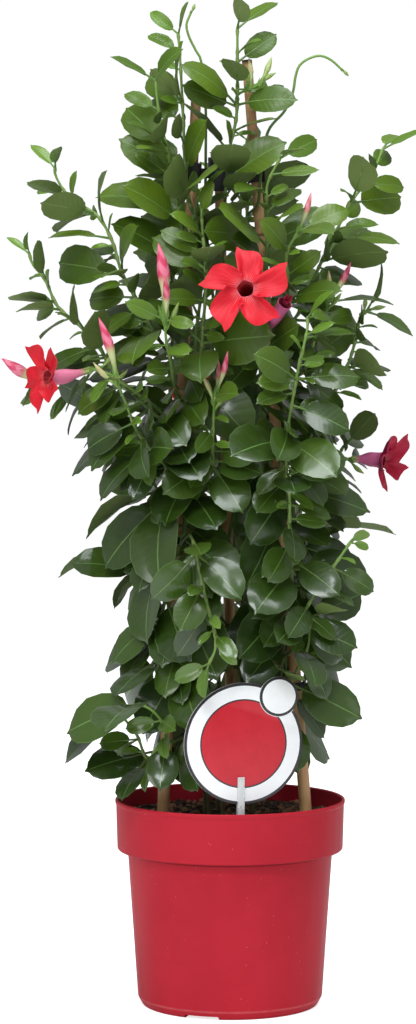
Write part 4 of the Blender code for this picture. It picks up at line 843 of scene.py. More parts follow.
facing = Matrix.Rotation(LABEL_TURN, 3, "Z")
stake_place = label_centre + facing @ Vector((STAKE_PLACE, 0, 0))
stake = add_box("clear_stake", (stake_place.x, stake_place.y, (STAKE_FOOT + STAKE_TOP) / 2),
                (STAKE_WIDTH, STAKE_THICKNESS, STAKE_TOP - STAKE_FOOT), LABEL_TURN)
slot_foot = label_centre.z - LABEL_RADIUS - GAP * 2
slot_size = (STAKE_WIDTH * 1.5, LABEL_THICKNESS + 2 * GAP, STAKE_TOP - slot_foot + 2 * CUT_PAST)
slot = add_box("slot", (stake_place.x, stake_place.y, (slot_foot + STAKE_TOP) / 2 + CUT_PAST),
               slot_size, LABEL_TURN)
cut(stake, slot)
round_edges(stake, 0.0005, 2, 40)
smooth(stake, 40)

# %% Finish the card and its stake
DISC_SHARE = 0.72
LINE_BLACK = (0.030, 0.026, 0.028)
card_print, tree, shader = new_finish("card_print", Roughness=0.32)
face = attribute(tree, "face")


def ring_distance(tree, x, z):
    """How far each point of the card is from a point of its face."""
    across = sum_up(tree, "SUBTRACT", face["X"], x)
    up = sum_up(tree, "SUBTRACT", face["Z"], z)
    squares = plus(tree, times(tree, across, across), times(tree, up, up))
    return sum_up(tree, "SQRT", squares)


def outlined(tree, far, radius, width):
    """A line of some width round a circle."""
    return sum_up(tree, "LESS_THAN", apart(tree, far, radius), width / 2)


from_middle = ring_distance(tree, 0, 0)
from_tab = ring_distance(tree, *TAB_PLACE)
on_tab = sum_up(tree, "LESS_THAN", from_tab, TAB_RADIUS + 0.0005)
scuffed = blotches(tree, 70.0)
white = blend(tree, scuffed, (0.91, 0.91, 0.92), (0.96, 0.96, 0.97))
red = blend(tree, scuffed, (0.54, 0.009, 0.022), (0.59, 0.013, 0.027))
colour = blend(tree, sum_up(tree, "LESS_THAN", from_middle, LABEL_RADIUS * DISC_SHARE), white, red)
lines = sum_up(tree, "MAXIMUM", outlined(tree, from_middle, LABEL_RADIUS * DISC_SHARE, 0.0011),
               outlined(tree, from_middle, LABEL_RADIUS - 0.0010, 0.0022))
colour = blend(tree, lines, colour, LINE_BLACK)
tab_colour = blend(tree, outlined(tree, from_tab, TAB_RADIUS - 0.0009, 0.0020), white, LINE_BLACK)
front = sum_up(tree, "LESS_THAN", face["Y"], -LABEL_THICKNESS * 0.3)
colour = blend(tree, on_tab, colour, tab_colour)
colour = blend(tree, front, white, colour)
paint(tree, shader, colour)
bump(tree, shader, grain(tree, 700.0, 2.0), 0.00005, 0.4)
dress(card, card_print, "label_card", "label")

clear, tree, shader = new_finish("clear_stake", Transmission_Weight=0.45, IOR=1.46)
clouding = blotches(tree, 50.0)
join(tree, shader.inputs["Roughness"], ramp(tree, clouding, 0.0, 1.0, 0.12, 0.35))
paint(tree, shader, blend(tree, clouding, (0.90, 0.91, 0.92), (0.96, 0.97, 0.97)))
dress(stake, clear, "stake_clear", "label_stake")

# %% [markdown]
# ## How the plant grows
# The plant is grown by rule, so that it can be thick and still cross nothing. Main stems wind up
# the canes, side shoots reach out along routes, and leaves stand in pairs, each pair turned a right
# angle from the last. The part's solids were grown by this same rule and the same seeds, so every
# leaf made here lies where its solid is. First come the sizes.

# %% State the plant's sizes
STEM_RADIUS = 0.0015
TWIG_RADIUS = 0.0011
STEM_SPACE = 0.0012
ROUTE_STEP = 0.0030
PUSH_ROUNDS = 30
OWN_SHIFT = 0.6
NEXT_SHIFT = 0.2
MAIN_MARKS = 20
WIND_RADIUS = 0.0098
WIND_WAVER = 0.0012
FOOT_CENTRE = (0, 6)
FOOT_RING = 0.0185
CLIMB_FOOT = 0.150
CLIMB_LEVEL = 0.268
ROOT_DEPTH = 0.0180
BLADE_THICKNESS = 0.0008
LEAF_SPACE = 0.0004
GUARD_SPACE = 0.0007
MAIN_LENGTH_LOW = 0.060
MAIN_LENGTH_HIGH = 0.052
MAIN_PITCH_LOW = 0.046
MAIN_PITCH_HIGH = 0.044
BACK_PITCH = 1.2
FIRST_PAIR = 0.6
SHOOT_GROWTH = 1.16
SHOOT_PITCH = 1.75
FRONT_LIGHT = 0.55
HANG_BELOW = 0.38
HANG_ABOVE = 0.60
BEND_TRIES = 64
BEND_STEP = math.radians(5.5)
BEND_ROUND = 2.4
BEND_SHRINK = 0.0045
LOWEST_LEAF = 0.1585
PLANT_MIDDLE = (-0.004, -0.002)
SHOOT_RISE = 0.010
ROOT_MARKS = 6
TIP_PAIR = 0.026
BARE_SHOOTS = ("tendril", "whip", "crown_buds")

# %% [markdown]
# The main stems are given by the cane that each climbs, the angle where it starts, its turns, its
# height and the height of its first leaves. Side shoots are given by a route in millimetres.

# %% List the stems and shoots
VINES = {
    "vine_left_a": ("left", 252, 318, 0.95, 596, 206),
    "vine_left_b": ("left", 212, 78, 0.85, 540, 236),
    "vine_left_c": ("left", 172, 198, 0.70, 470, 214),
    "vine_right_a": ("right", 292, 222, 0.95, 590, 250),
    "vine_right_b": ("right", 12, 342, 0.85, 548, 262),
    "vine_right_c": ("right", 332, 102, 0.75, 470, 222),
    "vine_back_a": ("back", 60, 350, 0.9, 590, 205),
    "vine_back_b": ("back", 120, 190, 0.8, 520, 230),
}
SHOOTS = {
    "crown": ([(-4, -20, 592), (-2, -22, 612), (0, -20, 632), (4, -18, 650), (5, -18, 669),
               (5, -18, 690), (5, -18, 704), (5, -18, 717)], 44, 26, 22, 90),
    "crown_back": ([(6, 8, 570), (8, 14, 596), (10, 12, 624), (16, 10, 650), (20, 10, 664)], 42, 24, 26, 0),
    "crown_buds": ([(5, -18, 668), (14, -24, 672), (21, -28, 675)], 0, 0, 0, 0),
    "crown_left": ([(-30, -22, 592), (-33, -23, 618), (-34, -22, 643), (-35, -20, 666), (-36, -20, 685),
                    (-37, -20, 701), (-38, -20, 713)], 40, 20, 22, 0),
    "top_left": ([(-34, -24, 566), (-39, -28, 592), (-43, -31, 615), (-47, -33, 633), (-51, -34, 651),
                  (-53, -35, 665), (-54, -36, 678)], 48, 24, 22, 0),
    "whip": ([(-16, 8, 560), (-18, 13, 590), (-18, 10, 624), (-18, 2, 660), (-21, -4, 692), (-25, -4, 701),
              (-30, -4, 711), (-32, -4, 720), (-29, -4, 728)], 0, 0, 0, 0),
    "tendril": ([(20, -22, 590), (22, -24, 612), (27, -22, 641), (39, -22, 656), (45, -22, 669),
                 (47, -24, 681), (50, -24, 689), (57, -24, 694), (65, -22, 696), (73, -20, 693),
                 (80, -18, 687)], 0, 0, 0, 0),
    "wand_left": ([(-51, -34, 490), (-65, -40, 515), (-78, -42, 538), (-85, -40, 561), (-96, -36, 580),
                   (-115, -30, 592), (-126, -26, 608), (-127, -26, 616)], 44, 20, 24, 60),
    "far_left": ([(-58, -40, 440), (-80, -46, 462), (-94, -44, 484), (-107, -40, 499), (-125, -34, 515),
                  (-134, -30, 534), (-143, -28, 545), (-146, -28, 554)], 44, 16, 22, 40),
    "bloom_left_stalk": ([(-51, -46, 440), (-66, -60, 452), (-80, -66, 462), (-90, -66, 468),
                          (-99, -63, 470)], 40, 28, 30, 90),
    "bud_left_stalk": ([(-58, -28, 418), (-80, -26, 436), (-98, -20, 446), (-116, -16, 452),
                        (-132, -16, 458)], 38, 26, 30, 0),
    "bud_front_stalk": ([(-40, -44, 455), (-43, -60, 474), (-46, -70, 490), (-47, -75, 506)], 34, 24, 30, 0),
    "bud_low_stalk": ([(-50, -46, 404), (-66, -64, 424), (-74, -74, 444), (-81, -78, 461)], 40, 28, 28, 20),
    "arch": ([(-22, -34, 470), (-20, -46, 500), (-18, -52, 523), (-18, -54, 547), (-20, -52, 566),
              (-21, -50, 585), (-22, -48, 596)], 46, 18, 24, 0),
    "centre_buds": ([(-14, -34, 395), (-13, -52, 418), (-12, -62, 440), (-11, -66, 452)], 40, 26, 28, 30),
    "upper_right": ([(24, -26, 530), (26, -34, 556), (26, -38, 583), (26, -40, 600), (30, -42, 611),
                     (36, -44, 622)], 46, 24, 24, 0),
    "wand_right": ([(46, -20, 505), (58, -24, 530), (70, -26, 556), (82, -24, 580), (90, -22, 594),
                    (98, -20, 604), (106, -18, 618), (111, -16, 630)], 46, 24, 24, 30),
    "buds_right": ([(38, -34, 510), (41, -50, 531), (40, -58, 552), (48, -62, 568)], 42, 30, 26, 0),
    "buds_far_right": ([(54, -30, 470), (60, -42, 490), (66, -46, 506), (71, -46, 519)], 44, 30, 26, 0),
    "tip_right": ([(58, -20, 420), (72, -24, 446), (85, -24, 472), (91, -22, 491), (94, -20, 506),
                   (100, -18, 512)], 46, 28, 24, 10),
    "spray": ([(40, -40, 376), (40, -62, 398), (40, -78, 423), (43, -86, 445), (47, -88, 468), (51, -88, 485),
               (54, -86, 499), (54, -84, 507)], 46, 24, 24, 30),
    "low_spray": ([(42, -40, 300), (44, -56, 325), (42, -66, 350), (42, -74, 376), (40, -80, 396)],
                  46, 32, 26, 0),
    "bloom_right_stalk": ([(48, -28, 378), (60, -20, 392), (71, -10, 400), (80, -4, 403), (88, 0, 403)],
                          44, 30, 30, 90),
    "whip_right": ([(46, -44, 268), (48, -58, 284), (55, -66, 300), (66, -70, 318), (77, -70, 334),
                    (86, -68, 347)], 34, 16, 26, 0),
    "whip_centre": ([(-30, -50, 350), (-26, -70, 344), (-22, -80, 326), (-17, -84, 303), (-12, -86, 285),
                     (-11, -86, 272), (-16, -84, 260)], 36, 20, 28, 0),
    "low_left": ([(-44, -46, 200), (-48, -54, 213), (-56, -60, 224), (-66, -62, 230)], 50, 46, 30, 90),
    "low_left_out": ([(-58, -36, 186), (-68, -40, 204), (-80, -42, 220)], 50, 46, 30, 0),
    "low_right": ([(36, -34, 225), (47, -44, 250), (56, -50, 270), (58, -52, 292)], 44, 32, 26, 0),
    "main_bloom_stalk": ([(6, -30, 480), (12, -44, 500), (15, -54, 511), (16, -60, 517)], 36, 0, 24, 0),
    "half_bloom_stalk": ([(24, -34, 468), (24, -50, 484), (24, -62, 494)], 36, 0, 24, 0),
    "side_right_low": ([(56, -8, 300), (60, 0, 322), (64, 6, 340), (66, 10, 352)], 50, 40, 30, 0),
    "side_right_mid": ([(52, 6, 350), (66, 12, 376), (76, 16, 396), (84, 18, 412)], 48, 34, 28, 20),
    "side_left_low": ([(-52, -10, 262), (-57, -4, 288), (-60, 0, 308), (-62, 4, 322)], 50, 40, 30, 10),
    "side_left_mid": ([(-48, 6, 372), (-62, 12, 394), (-76, 14, 410), (-86, 14, 424)], 48, 34, 28, 0),
    "back_low": ([(2, 64, 262), (0, 80, 286), (-6, 90, 308), (-8, 94, 322)], 50, 40, 32, 0),
    "back_right": ([(22, 50, 330), (38, 64, 356), (48, 74, 378), (50, 74, 396)], 46, 30, 30, 0),
    "back_left": ([(-16, 48, 380), (-34, 62, 404), (-46, 72, 426), (-50, 78, 444)], 46, 30, 30, 0),
    "bloom_back_stalk": ([(-6, 42, 404), (-16, 56, 420), (-22, 68, 430), (-25, 76, 434)], 38, 28, 30, 0),
    "back_crown": ([(-12, 24, 520), (-16, 38, 548), (-18, 44, 574), (-18, 46, 594)], 46, 24, 28, 0),
    "back_left_low": ([(-46, 10, 300), (-62, 30, 316), (-74, 44, 328), (-80, 52, 333)], 50, 38, 30, 0),
}

# %% [markdown]
# Buds stand at the ends of shoots, each given by its length and radius in millimetres, its lean and
# its turn. Flowers face outwards on short stalks, each given by its stalk, the centre of its face,
# the way that it faces, its radius and how far it is open.

# %% List the buds and flowers
BUDS = {
    "crown_buds": ((24, 2.2, 62, 90), (19, 1.9, 38, 60), (26, 2.2, 85, 100), (15, 1.7, 50, 150)),
    "bud_front_stalk": ((54, 4.6, 12, 100), (40, 2.6, 14, 280), (22, 2.0, 30, 20)),
    "bud_left_stalk": ((40, 4.4, 8, 0), (16, 1.8, 40, 90)),
    "bud_low_stalk": ((48, 3.6, 12, 60), (26, 2.0, 24, 170)),
    "bloom_left_stalk": ((22, 1.9, 80, 90), (18, 1.7, 110, 40)),
    "centre_buds": ((34, 2.2, 10, 0), (30, 2.0, 22, 90), (26, 1.9, 26, 200), (20, 1.7, 40, 300)),
    "buds_right": ((30, 2.3, 20, 120), (20, 1.8, 40, 30)),
    "buds_far_right": ((34, 2.6, 16, 60), (26, 2.1, 20, 200), (20, 1.8, 36, 300)),
    "tip_right": ((17, 1.9, 30, 60), (14, 1.7, 44, 200), (12, 1.6, 60, 120)),
    "whip_right": ((12, 1.5, 24, 60),),
    "bloom_back_stalk": ((26, 2.1, 50, 90), (20, 1.8, 70, 30)),
    "main_bloom_stalk": ((22, 1.9, 70, 200),),
    "bloom_right_stalk": ((20, 1.8, 80, 120),),
}
BUD_ROWS = ((0.0, 0.42), (0.58, 1.0), (1.0, 0.2))
BLOOMS = {
    "bloom_main": ("main_bloom_stalk", (10, -100, 527), (-0.14, -0.95, 0.24), 32.5, 1.0),
    "bloom_left": ("bloom_left_stalk", (-131, -62, 464), (-0.78, -0.62, 0.04), 31, 0.78),
    "bloom_right": ("bloom_right_stalk", (112, 1, 402), (0.86, -0.49, -0.12), 31, 0.68),
    "bloom_half": ("half_bloom_stalk", (38, -86, 517), (0.42, -0.62, 0.62), 11, 0.12),
    "bloom_back": ("bloom_back_stalk", (-30, 106, 440), (-0.14, 0.96, 0.22), 31, 1.0),
}
PETALS = 5
PETAL_STEPS = 3
PETAL_OUTLINE = (0.55, 0.92, 1.0)
THROAT_RADIUS = 0.0072
TUBE_FOOT_RADIUS = 0.0019
TUBE_BEND = 0.45
PETAL_TURN = math.radians(20)
CALYX_LENGTH = 0.0050
LEAST_OPEN = 0.12
PETAL_FLAT_CLOSED = 0.18
PETAL_FLAT_GAIN = 0.82
PETAL_STAND = 1.05
PETAL_DROOP = 0.10
PETAL_LIFT = 0.10
BUD_SINK = 0.0004
BUD_SPACING = 0.004

# %% [markdown]
# A stem follows a smooth line through a few points. These functions draw such a line and read a
# place and a direction from it.

# %% Draw and read smooth lines


def smooth_step(low, high, value):
    share = min(1.0, max(0.0, (value - low) / (high - low)))
    return share * share * (3 - 2 * share)


def smooth_route(points):
    """A smooth line through points in millimetres, read at even steps, in metres."""
    marks = [Vector(point) * MM for point in points]
    marks = [marks[0] * 2 - marks[1]] + marks + [marks[-1] * 2 - marks[-2]]
    line = []
    for a, b, c, d in zip(marks, marks[1:], marks[2:], marks[3:]):
        count = max(1, round((c - b).length / ROUTE_STEP))
        for i in range(count):
            t = i / count
            bow = (2 * a - 5 * b + 4 * c - d) * t * t + (3 * b - a - 3 * c + d) * t**3
            line.append((2 * b + (c - a) * t + bow) * 0.5)
    line.append(marks[-2])
    return line


def at_distance(line, distance):
    """The point and direction of a line at a distance from its foot."""
    for a, b in zip(line, line[1:]):
        step = (b - a).length
        if distance <= step:
            return a.lerp(b, distance / step), (b - a).normalized()
        distance -= step
    return line[-1].copy(), (line[-1] - line[-2]).normalized()


def line_length(line):
    return sum((b - a).length for a, b in zip(line, line[1:]))


# %% [markdown]
# A main stem starts in the soil beside its cane and winds round it. Shoots spring from the nearest
# main stem and are pushed clear of the canes and of other plants' stems, a little at a time.

# %% Grow the stems


def vine_route(cane, foot_angle, start, turns, top):
    """A main stem: out of the soil near the pot's middle, over to its cane and round it to its top."""
    points = []
    low = SOIL_LEVEL - ROOT_DEPTH
    foot = Vector((*FOOT_CENTRE, 0)) * MM
    foot += Vector((math.cos(math.radians(foot_angle)), math.sin(math.radians(foot_angle)), 0)) * FOOT_RING
    for i in range(MAIN_MARKS + 1):
        height = low + (top * MM - low) * i / MAIN_MARKS
        climbed = max(0.0, height - CLIMB_LEVEL) / (top * MM - CLIMB_LEVEL)
        turn = math.radians(start) + turns * math.tau * climbed
        reach = WIND_RADIUS + WIND_WAVER * math.sin(5 * turn)
        wound = cane_point(cane, height) + Vector((math.cos(turn), math.sin(turn), 0)) * reach
        share = smooth_step(CLIMB_FOOT, CLIMB_LEVEL, height)
        level = foot.lerp(Vector((wound.x, wound.y, 0)), share)
        points.append(Vector((level.x, level.y, height)) / MM)
    return smooth_route(points)


def capsules():
    """The rigid things that stems grow round: two ends and a radius each."""
    found = []
    widest = CANE_RADIUS + CANE_JOINT_SWELL
    for cane in CANE_FEET:
        found.append((*cane_ends(cane), widest))
    cup = cane_point("back", SPREADER_LEVEL)
    found.append((cup - UP * CUP_HEIGHT / 2, cup + UP * CUP_HEIGHT / 2, CUP_RADIUS))
    for cane in ("left", "right"):
        ring = cane_point(cane, SPREADER_LEVEL)
        found.append((cup, ring, ARM_HEIGHT / 2))
        half = UP * CLIP_HEIGHT / 2
        found.append((ring - half, ring + half, CANE_RADIUS + GAP + CLIP_WALL))
    for cane, height in TIES.values():
        ring = cane_point(cane, height * MM)
        half = UP * TIE_HEIGHT / 2
        found.append((ring - half, ring + half, widest + TIE_WALL))
    return found


def push_out(point, capsule, need):
    """How far to move a point so that it clears a capsule."""
    a, b, radius = capsule
    share = min(1.0, max(0.0, (point - a).dot(b - a) / (b - a).length_squared))
    away = point - a.lerp(b, share)
    short = radius + need - away.length
    if short <= 0:
        return Vector()
    return away.normalized() * short


def grow_stems():
    """Every stem as a record: its name, its vine, its line and its radius at foot and tip."""
    stems = []
    for name, (cane, foot_angle, start, turns, top, _) in VINES.items():
        line = vine_route(cane, foot_angle, start, turns, top)
        stems.append({"name": name, "vine": name, "line": line, "foot": STEM_RADIUS, "tip": TWIG_RADIUS})
    mains = list(stems)
    rise = UP * SHOOT_RISE
    by_name = {}
    for name, (points, *_) in SHOOTS.items():
        first = Vector(points[0]) * MM
        if name == "crown_buds":
            parent = by_name["crown"]
        else:
            parent = min(mains, key=lambda stem: min((p + rise - first).length for p in stem["line"]))
        root = min(parent["line"], key=lambda p: (p + rise - first).length)
        line = smooth_route([root / MM] + points)
        stem = {"name": name, "vine": parent["vine"], "line": line}
        stem["foot"] = TWIG_RADIUS + 0.0001
        stem["tip"] = TWIG_RADIUS * 0.8
        if name == "crown_buds":
            stem["pinned"] = True
        by_name[name] = stem
        stems.append(stem)
    push_apart(stems)
    return stems


def push_apart(stems):
    """Bends stems clear of the canes and of other vines, main stems only where they lean over to a cane."""
    rigid = capsules()
    shifts = [[Vector() for _ in stem["line"]] for stem in stems]
    rest = [[p.copy() for p in stem["line"]] for stem in stems]
    need = 2 * STEM_RADIUS + STEM_SPACE
    for _ in range(PUSH_ROUNDS):
        tree = kdtree.KDTree(sum(len(line) for line in rest))
        owners = []
        for s, stem in enumerate(stems):
            for i in range(len(rest[s])):
                tree.insert(rest[s][i] + shifts[s][i], len(owners))
                owners.append((s, i))
        tree.balance()
        for s, stem in enumerate(stems):
            if "pinned" in stem:
                continue
            main = stem["name"] in VINES
            for i in range(4, len(rest[s])):
                here = rest[s][i] + shifts[s][i]
                if main and not SOIL_LEVEL + 0.012 < here.z < CLIMB_LEVEL + 0.03:
                    continue
                push = Vector()
                for capsule in rigid:
                    push += push_out(here, capsule, STEM_RADIUS + STEM_SPACE)
                for there, index, distance in tree.find_range(here, need):
                    if stems[owners[index][0]]["vine"] != stem["vine"] and distance > 1e-7:
                        push += (here - there).normalized() * (need - distance) * 0.5
                shifts[s][i] += push
        for s, stem in enumerate(stems):
            moved = shifts[s]
            for i in range(1, len(moved) - 1):
                moved[i] = moved[i] * OWN_SHIFT + (moved[i - 1] + moved[i + 1]) * NEXT_SHIFT
    for s, stem in enumerate(stems):
        stem["line"] = [p + d for p, d in zip(rest[s], shifts[s])]
    ends = {stem["name"]: stem for stem in stems}
    buds = ends["crown_buds"]["line"]
    nearest = min(ends["crown"]["line"], key=lambda p: (p - buds[0]).length)
    drift = nearest - buds[0]
    ends["crown_buds"]["line"] = [p + drift for p in buds]
    for stem in stems:
        if stem["name"] not in VINES and "pinned" not in stem:
            parent = ends[stem["vine"]]["line"]
            root = min(parent, key=lambda p: (p - stem["line"][0]).length)
            drift = root - stem["line"][0]
            for i in range(ROOT_MARKS):
                stem["line"][i] = stem["line"][i] + drift * (1 - i / ROOT_MARKS)


def stem_radius(stem, share):
    return stem["foot"] + (stem["tip"] - stem["foot"]) * share


# %% [markdown]
# Leaves must not cross anything. Each thing that stands in the way is kept as a search tree with
# some room round it, and a new leaf is tested against those near it.

# %% Keep room round what has grown


def around(side, other, turn):
    """The direction at a turn from one side towards the other."""
    return side * math.cos(turn) + other * math.sin(turn)


def ring_faces(rings, sides):
    """The faces that join each ring of points to the next one."""
    faces = []
    for i in range(rings - 1):
        for k in range(sides):
            a = i * sides + k
            b = i * sides + (k + 1) % sides
            faces.append((a, b, b + sides, a + sides))
    return faces


def closed_faces(rings, sides):
    """The same faces, and one more over each end."""
    last = (rings - 1) * sides
    return ring_faces(rings, sides) + [tuple(reversed(range(sides))), tuple(range(last, last + sides))]


def sweep(points, radii, sides):
    """A closed tube along a line, with its points and faces."""
    verts = []
    last = len(points) - 1
    side = None
    for i, point in enumerate(points):
        ahead = (points[min(i + 1, last)] - points[max(i - 1, 0)]).normalized()
        if side is None:
            side = ahead.orthogonal().normalized()
        side = (side - ahead * side.dot(ahead)).normalized()
        other = ahead.cross(side)
        for k in range(sides):
            turn = math.tau * k / sides
            verts.append(point + around(side, other, turn) * radii[i])
    return verts, closed_faces(len(points), sides)


def guard(verts, faces):
    """A search tree with the sphere that holds it."""
    middle = sum(verts, Vector()) / len(verts)
    reach = max((v - middle).length for v in verts)
    return middle, reach, BVHTree.FromPolygons(verts, faces)


def tube_guard(points, radii, sides):
    """A search tree of a closed tube, which leaves keep clear of."""
    return guard(*sweep(points, radii, sides))


# %% [markdown]
# A blade is described by one formula: it bends along its midrib, folds up at the sides and curls at
# the edge. Its outline is widest near the middle and draws out to a short point.

# %% Describe a leaf


def blade_half_width(t):
    return (4 * t * (1 - t)) ** 0.6 * (1 - 0.6 * smooth_step(0.82, 0.97, t))


def blade_point(leaf, t, u):
    """The point of a blade at t from base to tip and u from midrib to edge, with its normal."""
    turn = leaf["bend"] * t
    bow = leaf["length"] / leaf["bend"]
    along = leaf["ahead"] * (math.sin(turn) * bow) - leaf["up"] * ((1 - math.cos(turn)) * bow)
    normal = leaf["up"] * math.cos(turn) + leaf["ahead"] * math.sin(turn)
    half = leaf["half"] * blade_half_width(t)
    lift = half * (leaf["fold"] * abs(u) - leaf["curl"] * u * u)
    return leaf["base"] + along + leaf["side"] * (u * half) + normal * lift, normal


def leaf_guard(leaf):
    """A search tree of the leaf with some room round it, from half way along its stalk."""
    up = leaf["up"]
    start = leaf["root"].lerp(leaf["base"], max(0.5, min(0.9, 0.0024 / leaf["stalk"])))
    rows = [[start - leaf["side"] * 0.001, start, start + leaf["side"] * 0.001]]
    lifts = [up]
    for t in (0.03, 0.2, 0.4, 0.6, 0.8, 0.985):
        widen = 1 + GUARD_SPACE * 2 / (leaf["half"] * blade_half_width(t))
        rows.append([blade_point(leaf, t, u)[0] for u in (-widen, 0, widen)])
        lifts.append(blade_point(leaf, t, 0)[1])
    thick = BLADE_THICKNESS / 2 + GUARD_SPACE
    verts = []
    for row, lift in zip(rows, lifts):
        verts += [p + lift * thick for p in row] + [p - lift * thick for p in row]
    faces = [(0, 1, 4, 3), (1, 2, 5, 4)]
    for i in range(len(rows) - 1):
        a = i * 6
        b = a + 6
        faces += [(a, a + 1, b + 1, b), (a + 1, a + 2, b + 2, b + 1)]
        faces += [(a + 3, a + 4, b + 4, b + 3), (a + 4, a + 5, b + 5, b + 4)]
        faces += [(a, b, b + 3, a + 3), (a + 2, b + 2, b + 5, a + 5)]
    end = len(verts) - 6
    faces += [(end, end + 1, end + 4, end + 3), (end + 1, end + 2, end + 5, end + 4)]
    return guard(verts, faces)


def clear_of(candidate, obstacles):
    middle, reach, tree = candidate
    for other_middle, other_reach, other_tree in obstacles:
        if (middle - other_middle).length < reach + other_reach and tree.overlap(other_tree):
            return False
    return True


# %% [markdown]
# Leaves turn their faces to the light. High up they stand out and up from the stem. Low down they
# hang, face outwards. A leaf that would cross something is turned a little further each try.

# %% Turn leaves to the light


def outward(point):
    """Away from the middle of the plant, level."""
    away = Vector((point.x - PLANT_MIDDLE[0], point.y - PLANT_MIDDLE[1], 0))
    if away.length < 0.004:
        return Vector((0, -1, 0))
    return away.normalized()


def turned_out(radial, tangent, out):
    """Turns a leaf that would point into the plant round to the side that it is nearer to."""
    inward = max(0.0, 0.25 - radial.dot(out))
    across = tangent.cross(out).normalized()
    if radial.dot(across) < 0:
        across = -across
    return (radial + across * (inward * 1.1) + out * (inward * 0.75)).normalized()


def leaf_at(node, tangent, radial, length, upright, rng):
    """A leaf as it would like to grow: out of its stem, up to the light or hanging."""
    out = outward(node)
    hang = 1 - smooth_step(HANG_BELOW, HANG_ABOVE, node.z)
    hang *= 1 - upright
    radial = turned_out(radial, tangent, out)
    up_share = 0.75 - 0.75 * hang
    young = 1 - smooth_step(0.012, 0.034, length)
    up_share += 0.7 * young
    ahead = radial * (1 - 0.25 * hang) + tangent * up_share - UP * (1.05 * hang) + out * (0.15 + 0.30 * hang)
    ahead = ahead.normalized()
    front = Vector((0, -FRONT_LIGHT, 0)) * (1 - smooth_step(-0.01, 0.05, node.y))
    light = (out * 0.95 + front + UP * 0.6) * (0.55 + 0.7 * hang) + tangent * (1.1 - hang) * 0.6
    side = ahead.cross(light).normalized()
    up = side.cross(ahead).normalized()
    sway = 16 + 24 * (1 - hang)
    roll = Matrix.Rotation(math.radians(rng.uniform(-sway, sway)), 3, ahead)
    ratio = rng.uniform(1.34, 1.52) + 0.22 * smooth_step(0.42, 0.56, node.z) + 0.30 * young
    stalk = 0.0035 + 0.0070 * smooth_step(0.015, 0.045, length)
    leaf = {"root": node, "ahead": ahead, "side": roll @ side, "up": roll @ up, "length": length}
    leaf["half"] = length / ratio / 2
    leaf["stalk"] = stalk * rng.uniform(0.85, 1.15)
    leaf["bend"] = math.radians(rng.uniform(10, 42))
    leaf["fold"] = rng.uniform(0.10, 0.34) + 0.25 * young
    leaf["curl"] = rng.uniform(0.0, 0.26)
    leaf["young"] = young
    leaf["base"] = node + ahead * leaf["stalk"]
    return leaf


def bend_clear(leaf, obstacles):
    """Turns a leaf a little further each try until it crosses nothing, or gives it up."""
    first = dict(leaf)
    for k in range(BEND_TRIES):
        swing = BEND_STEP * math.sqrt(k)
        yaw = Matrix.Rotation(swing * math.cos(BEND_ROUND * k), 3, first["up"])
        pitch = Matrix.Rotation(swing * math.sin(BEND_ROUND * k), 3, first["side"])
        turn = yaw @ pitch
        for axis in ("ahead", "side", "up"):
            leaf[axis] = turn @ first[axis]
        shrink = 1 - BEND_SHRINK * k
        leaf["length"] = first["length"] * shrink
        leaf["half"] = first["half"] * shrink
        leaf["base"] = leaf["root"] + leaf["ahead"] * leaf["stalk"]
        lowest = min(blade_point(leaf, t, u)[0].z for t in (0, 0.5, 0.85, 1) for u in (-1, 1))
        if lowest < LOWEST_LEAF:
            continue
        found = leaf_guard(leaf)
        if clear_of(found, obstacles):
            return found
    return None


def pair_direction(tangent, angle):
    """A direction square to a stem: angle 0 lies across the front, 90 towards it."""
    across = Vector((1, 0, 0)) - tangent * tangent.x
    if across.length < 0.5:
        across = UP - tangent * tangent.z
    across.normalize()
    return Matrix.Rotation(math.radians(angle), 3, tangent) @ across


# %% Grow the leaf pairs


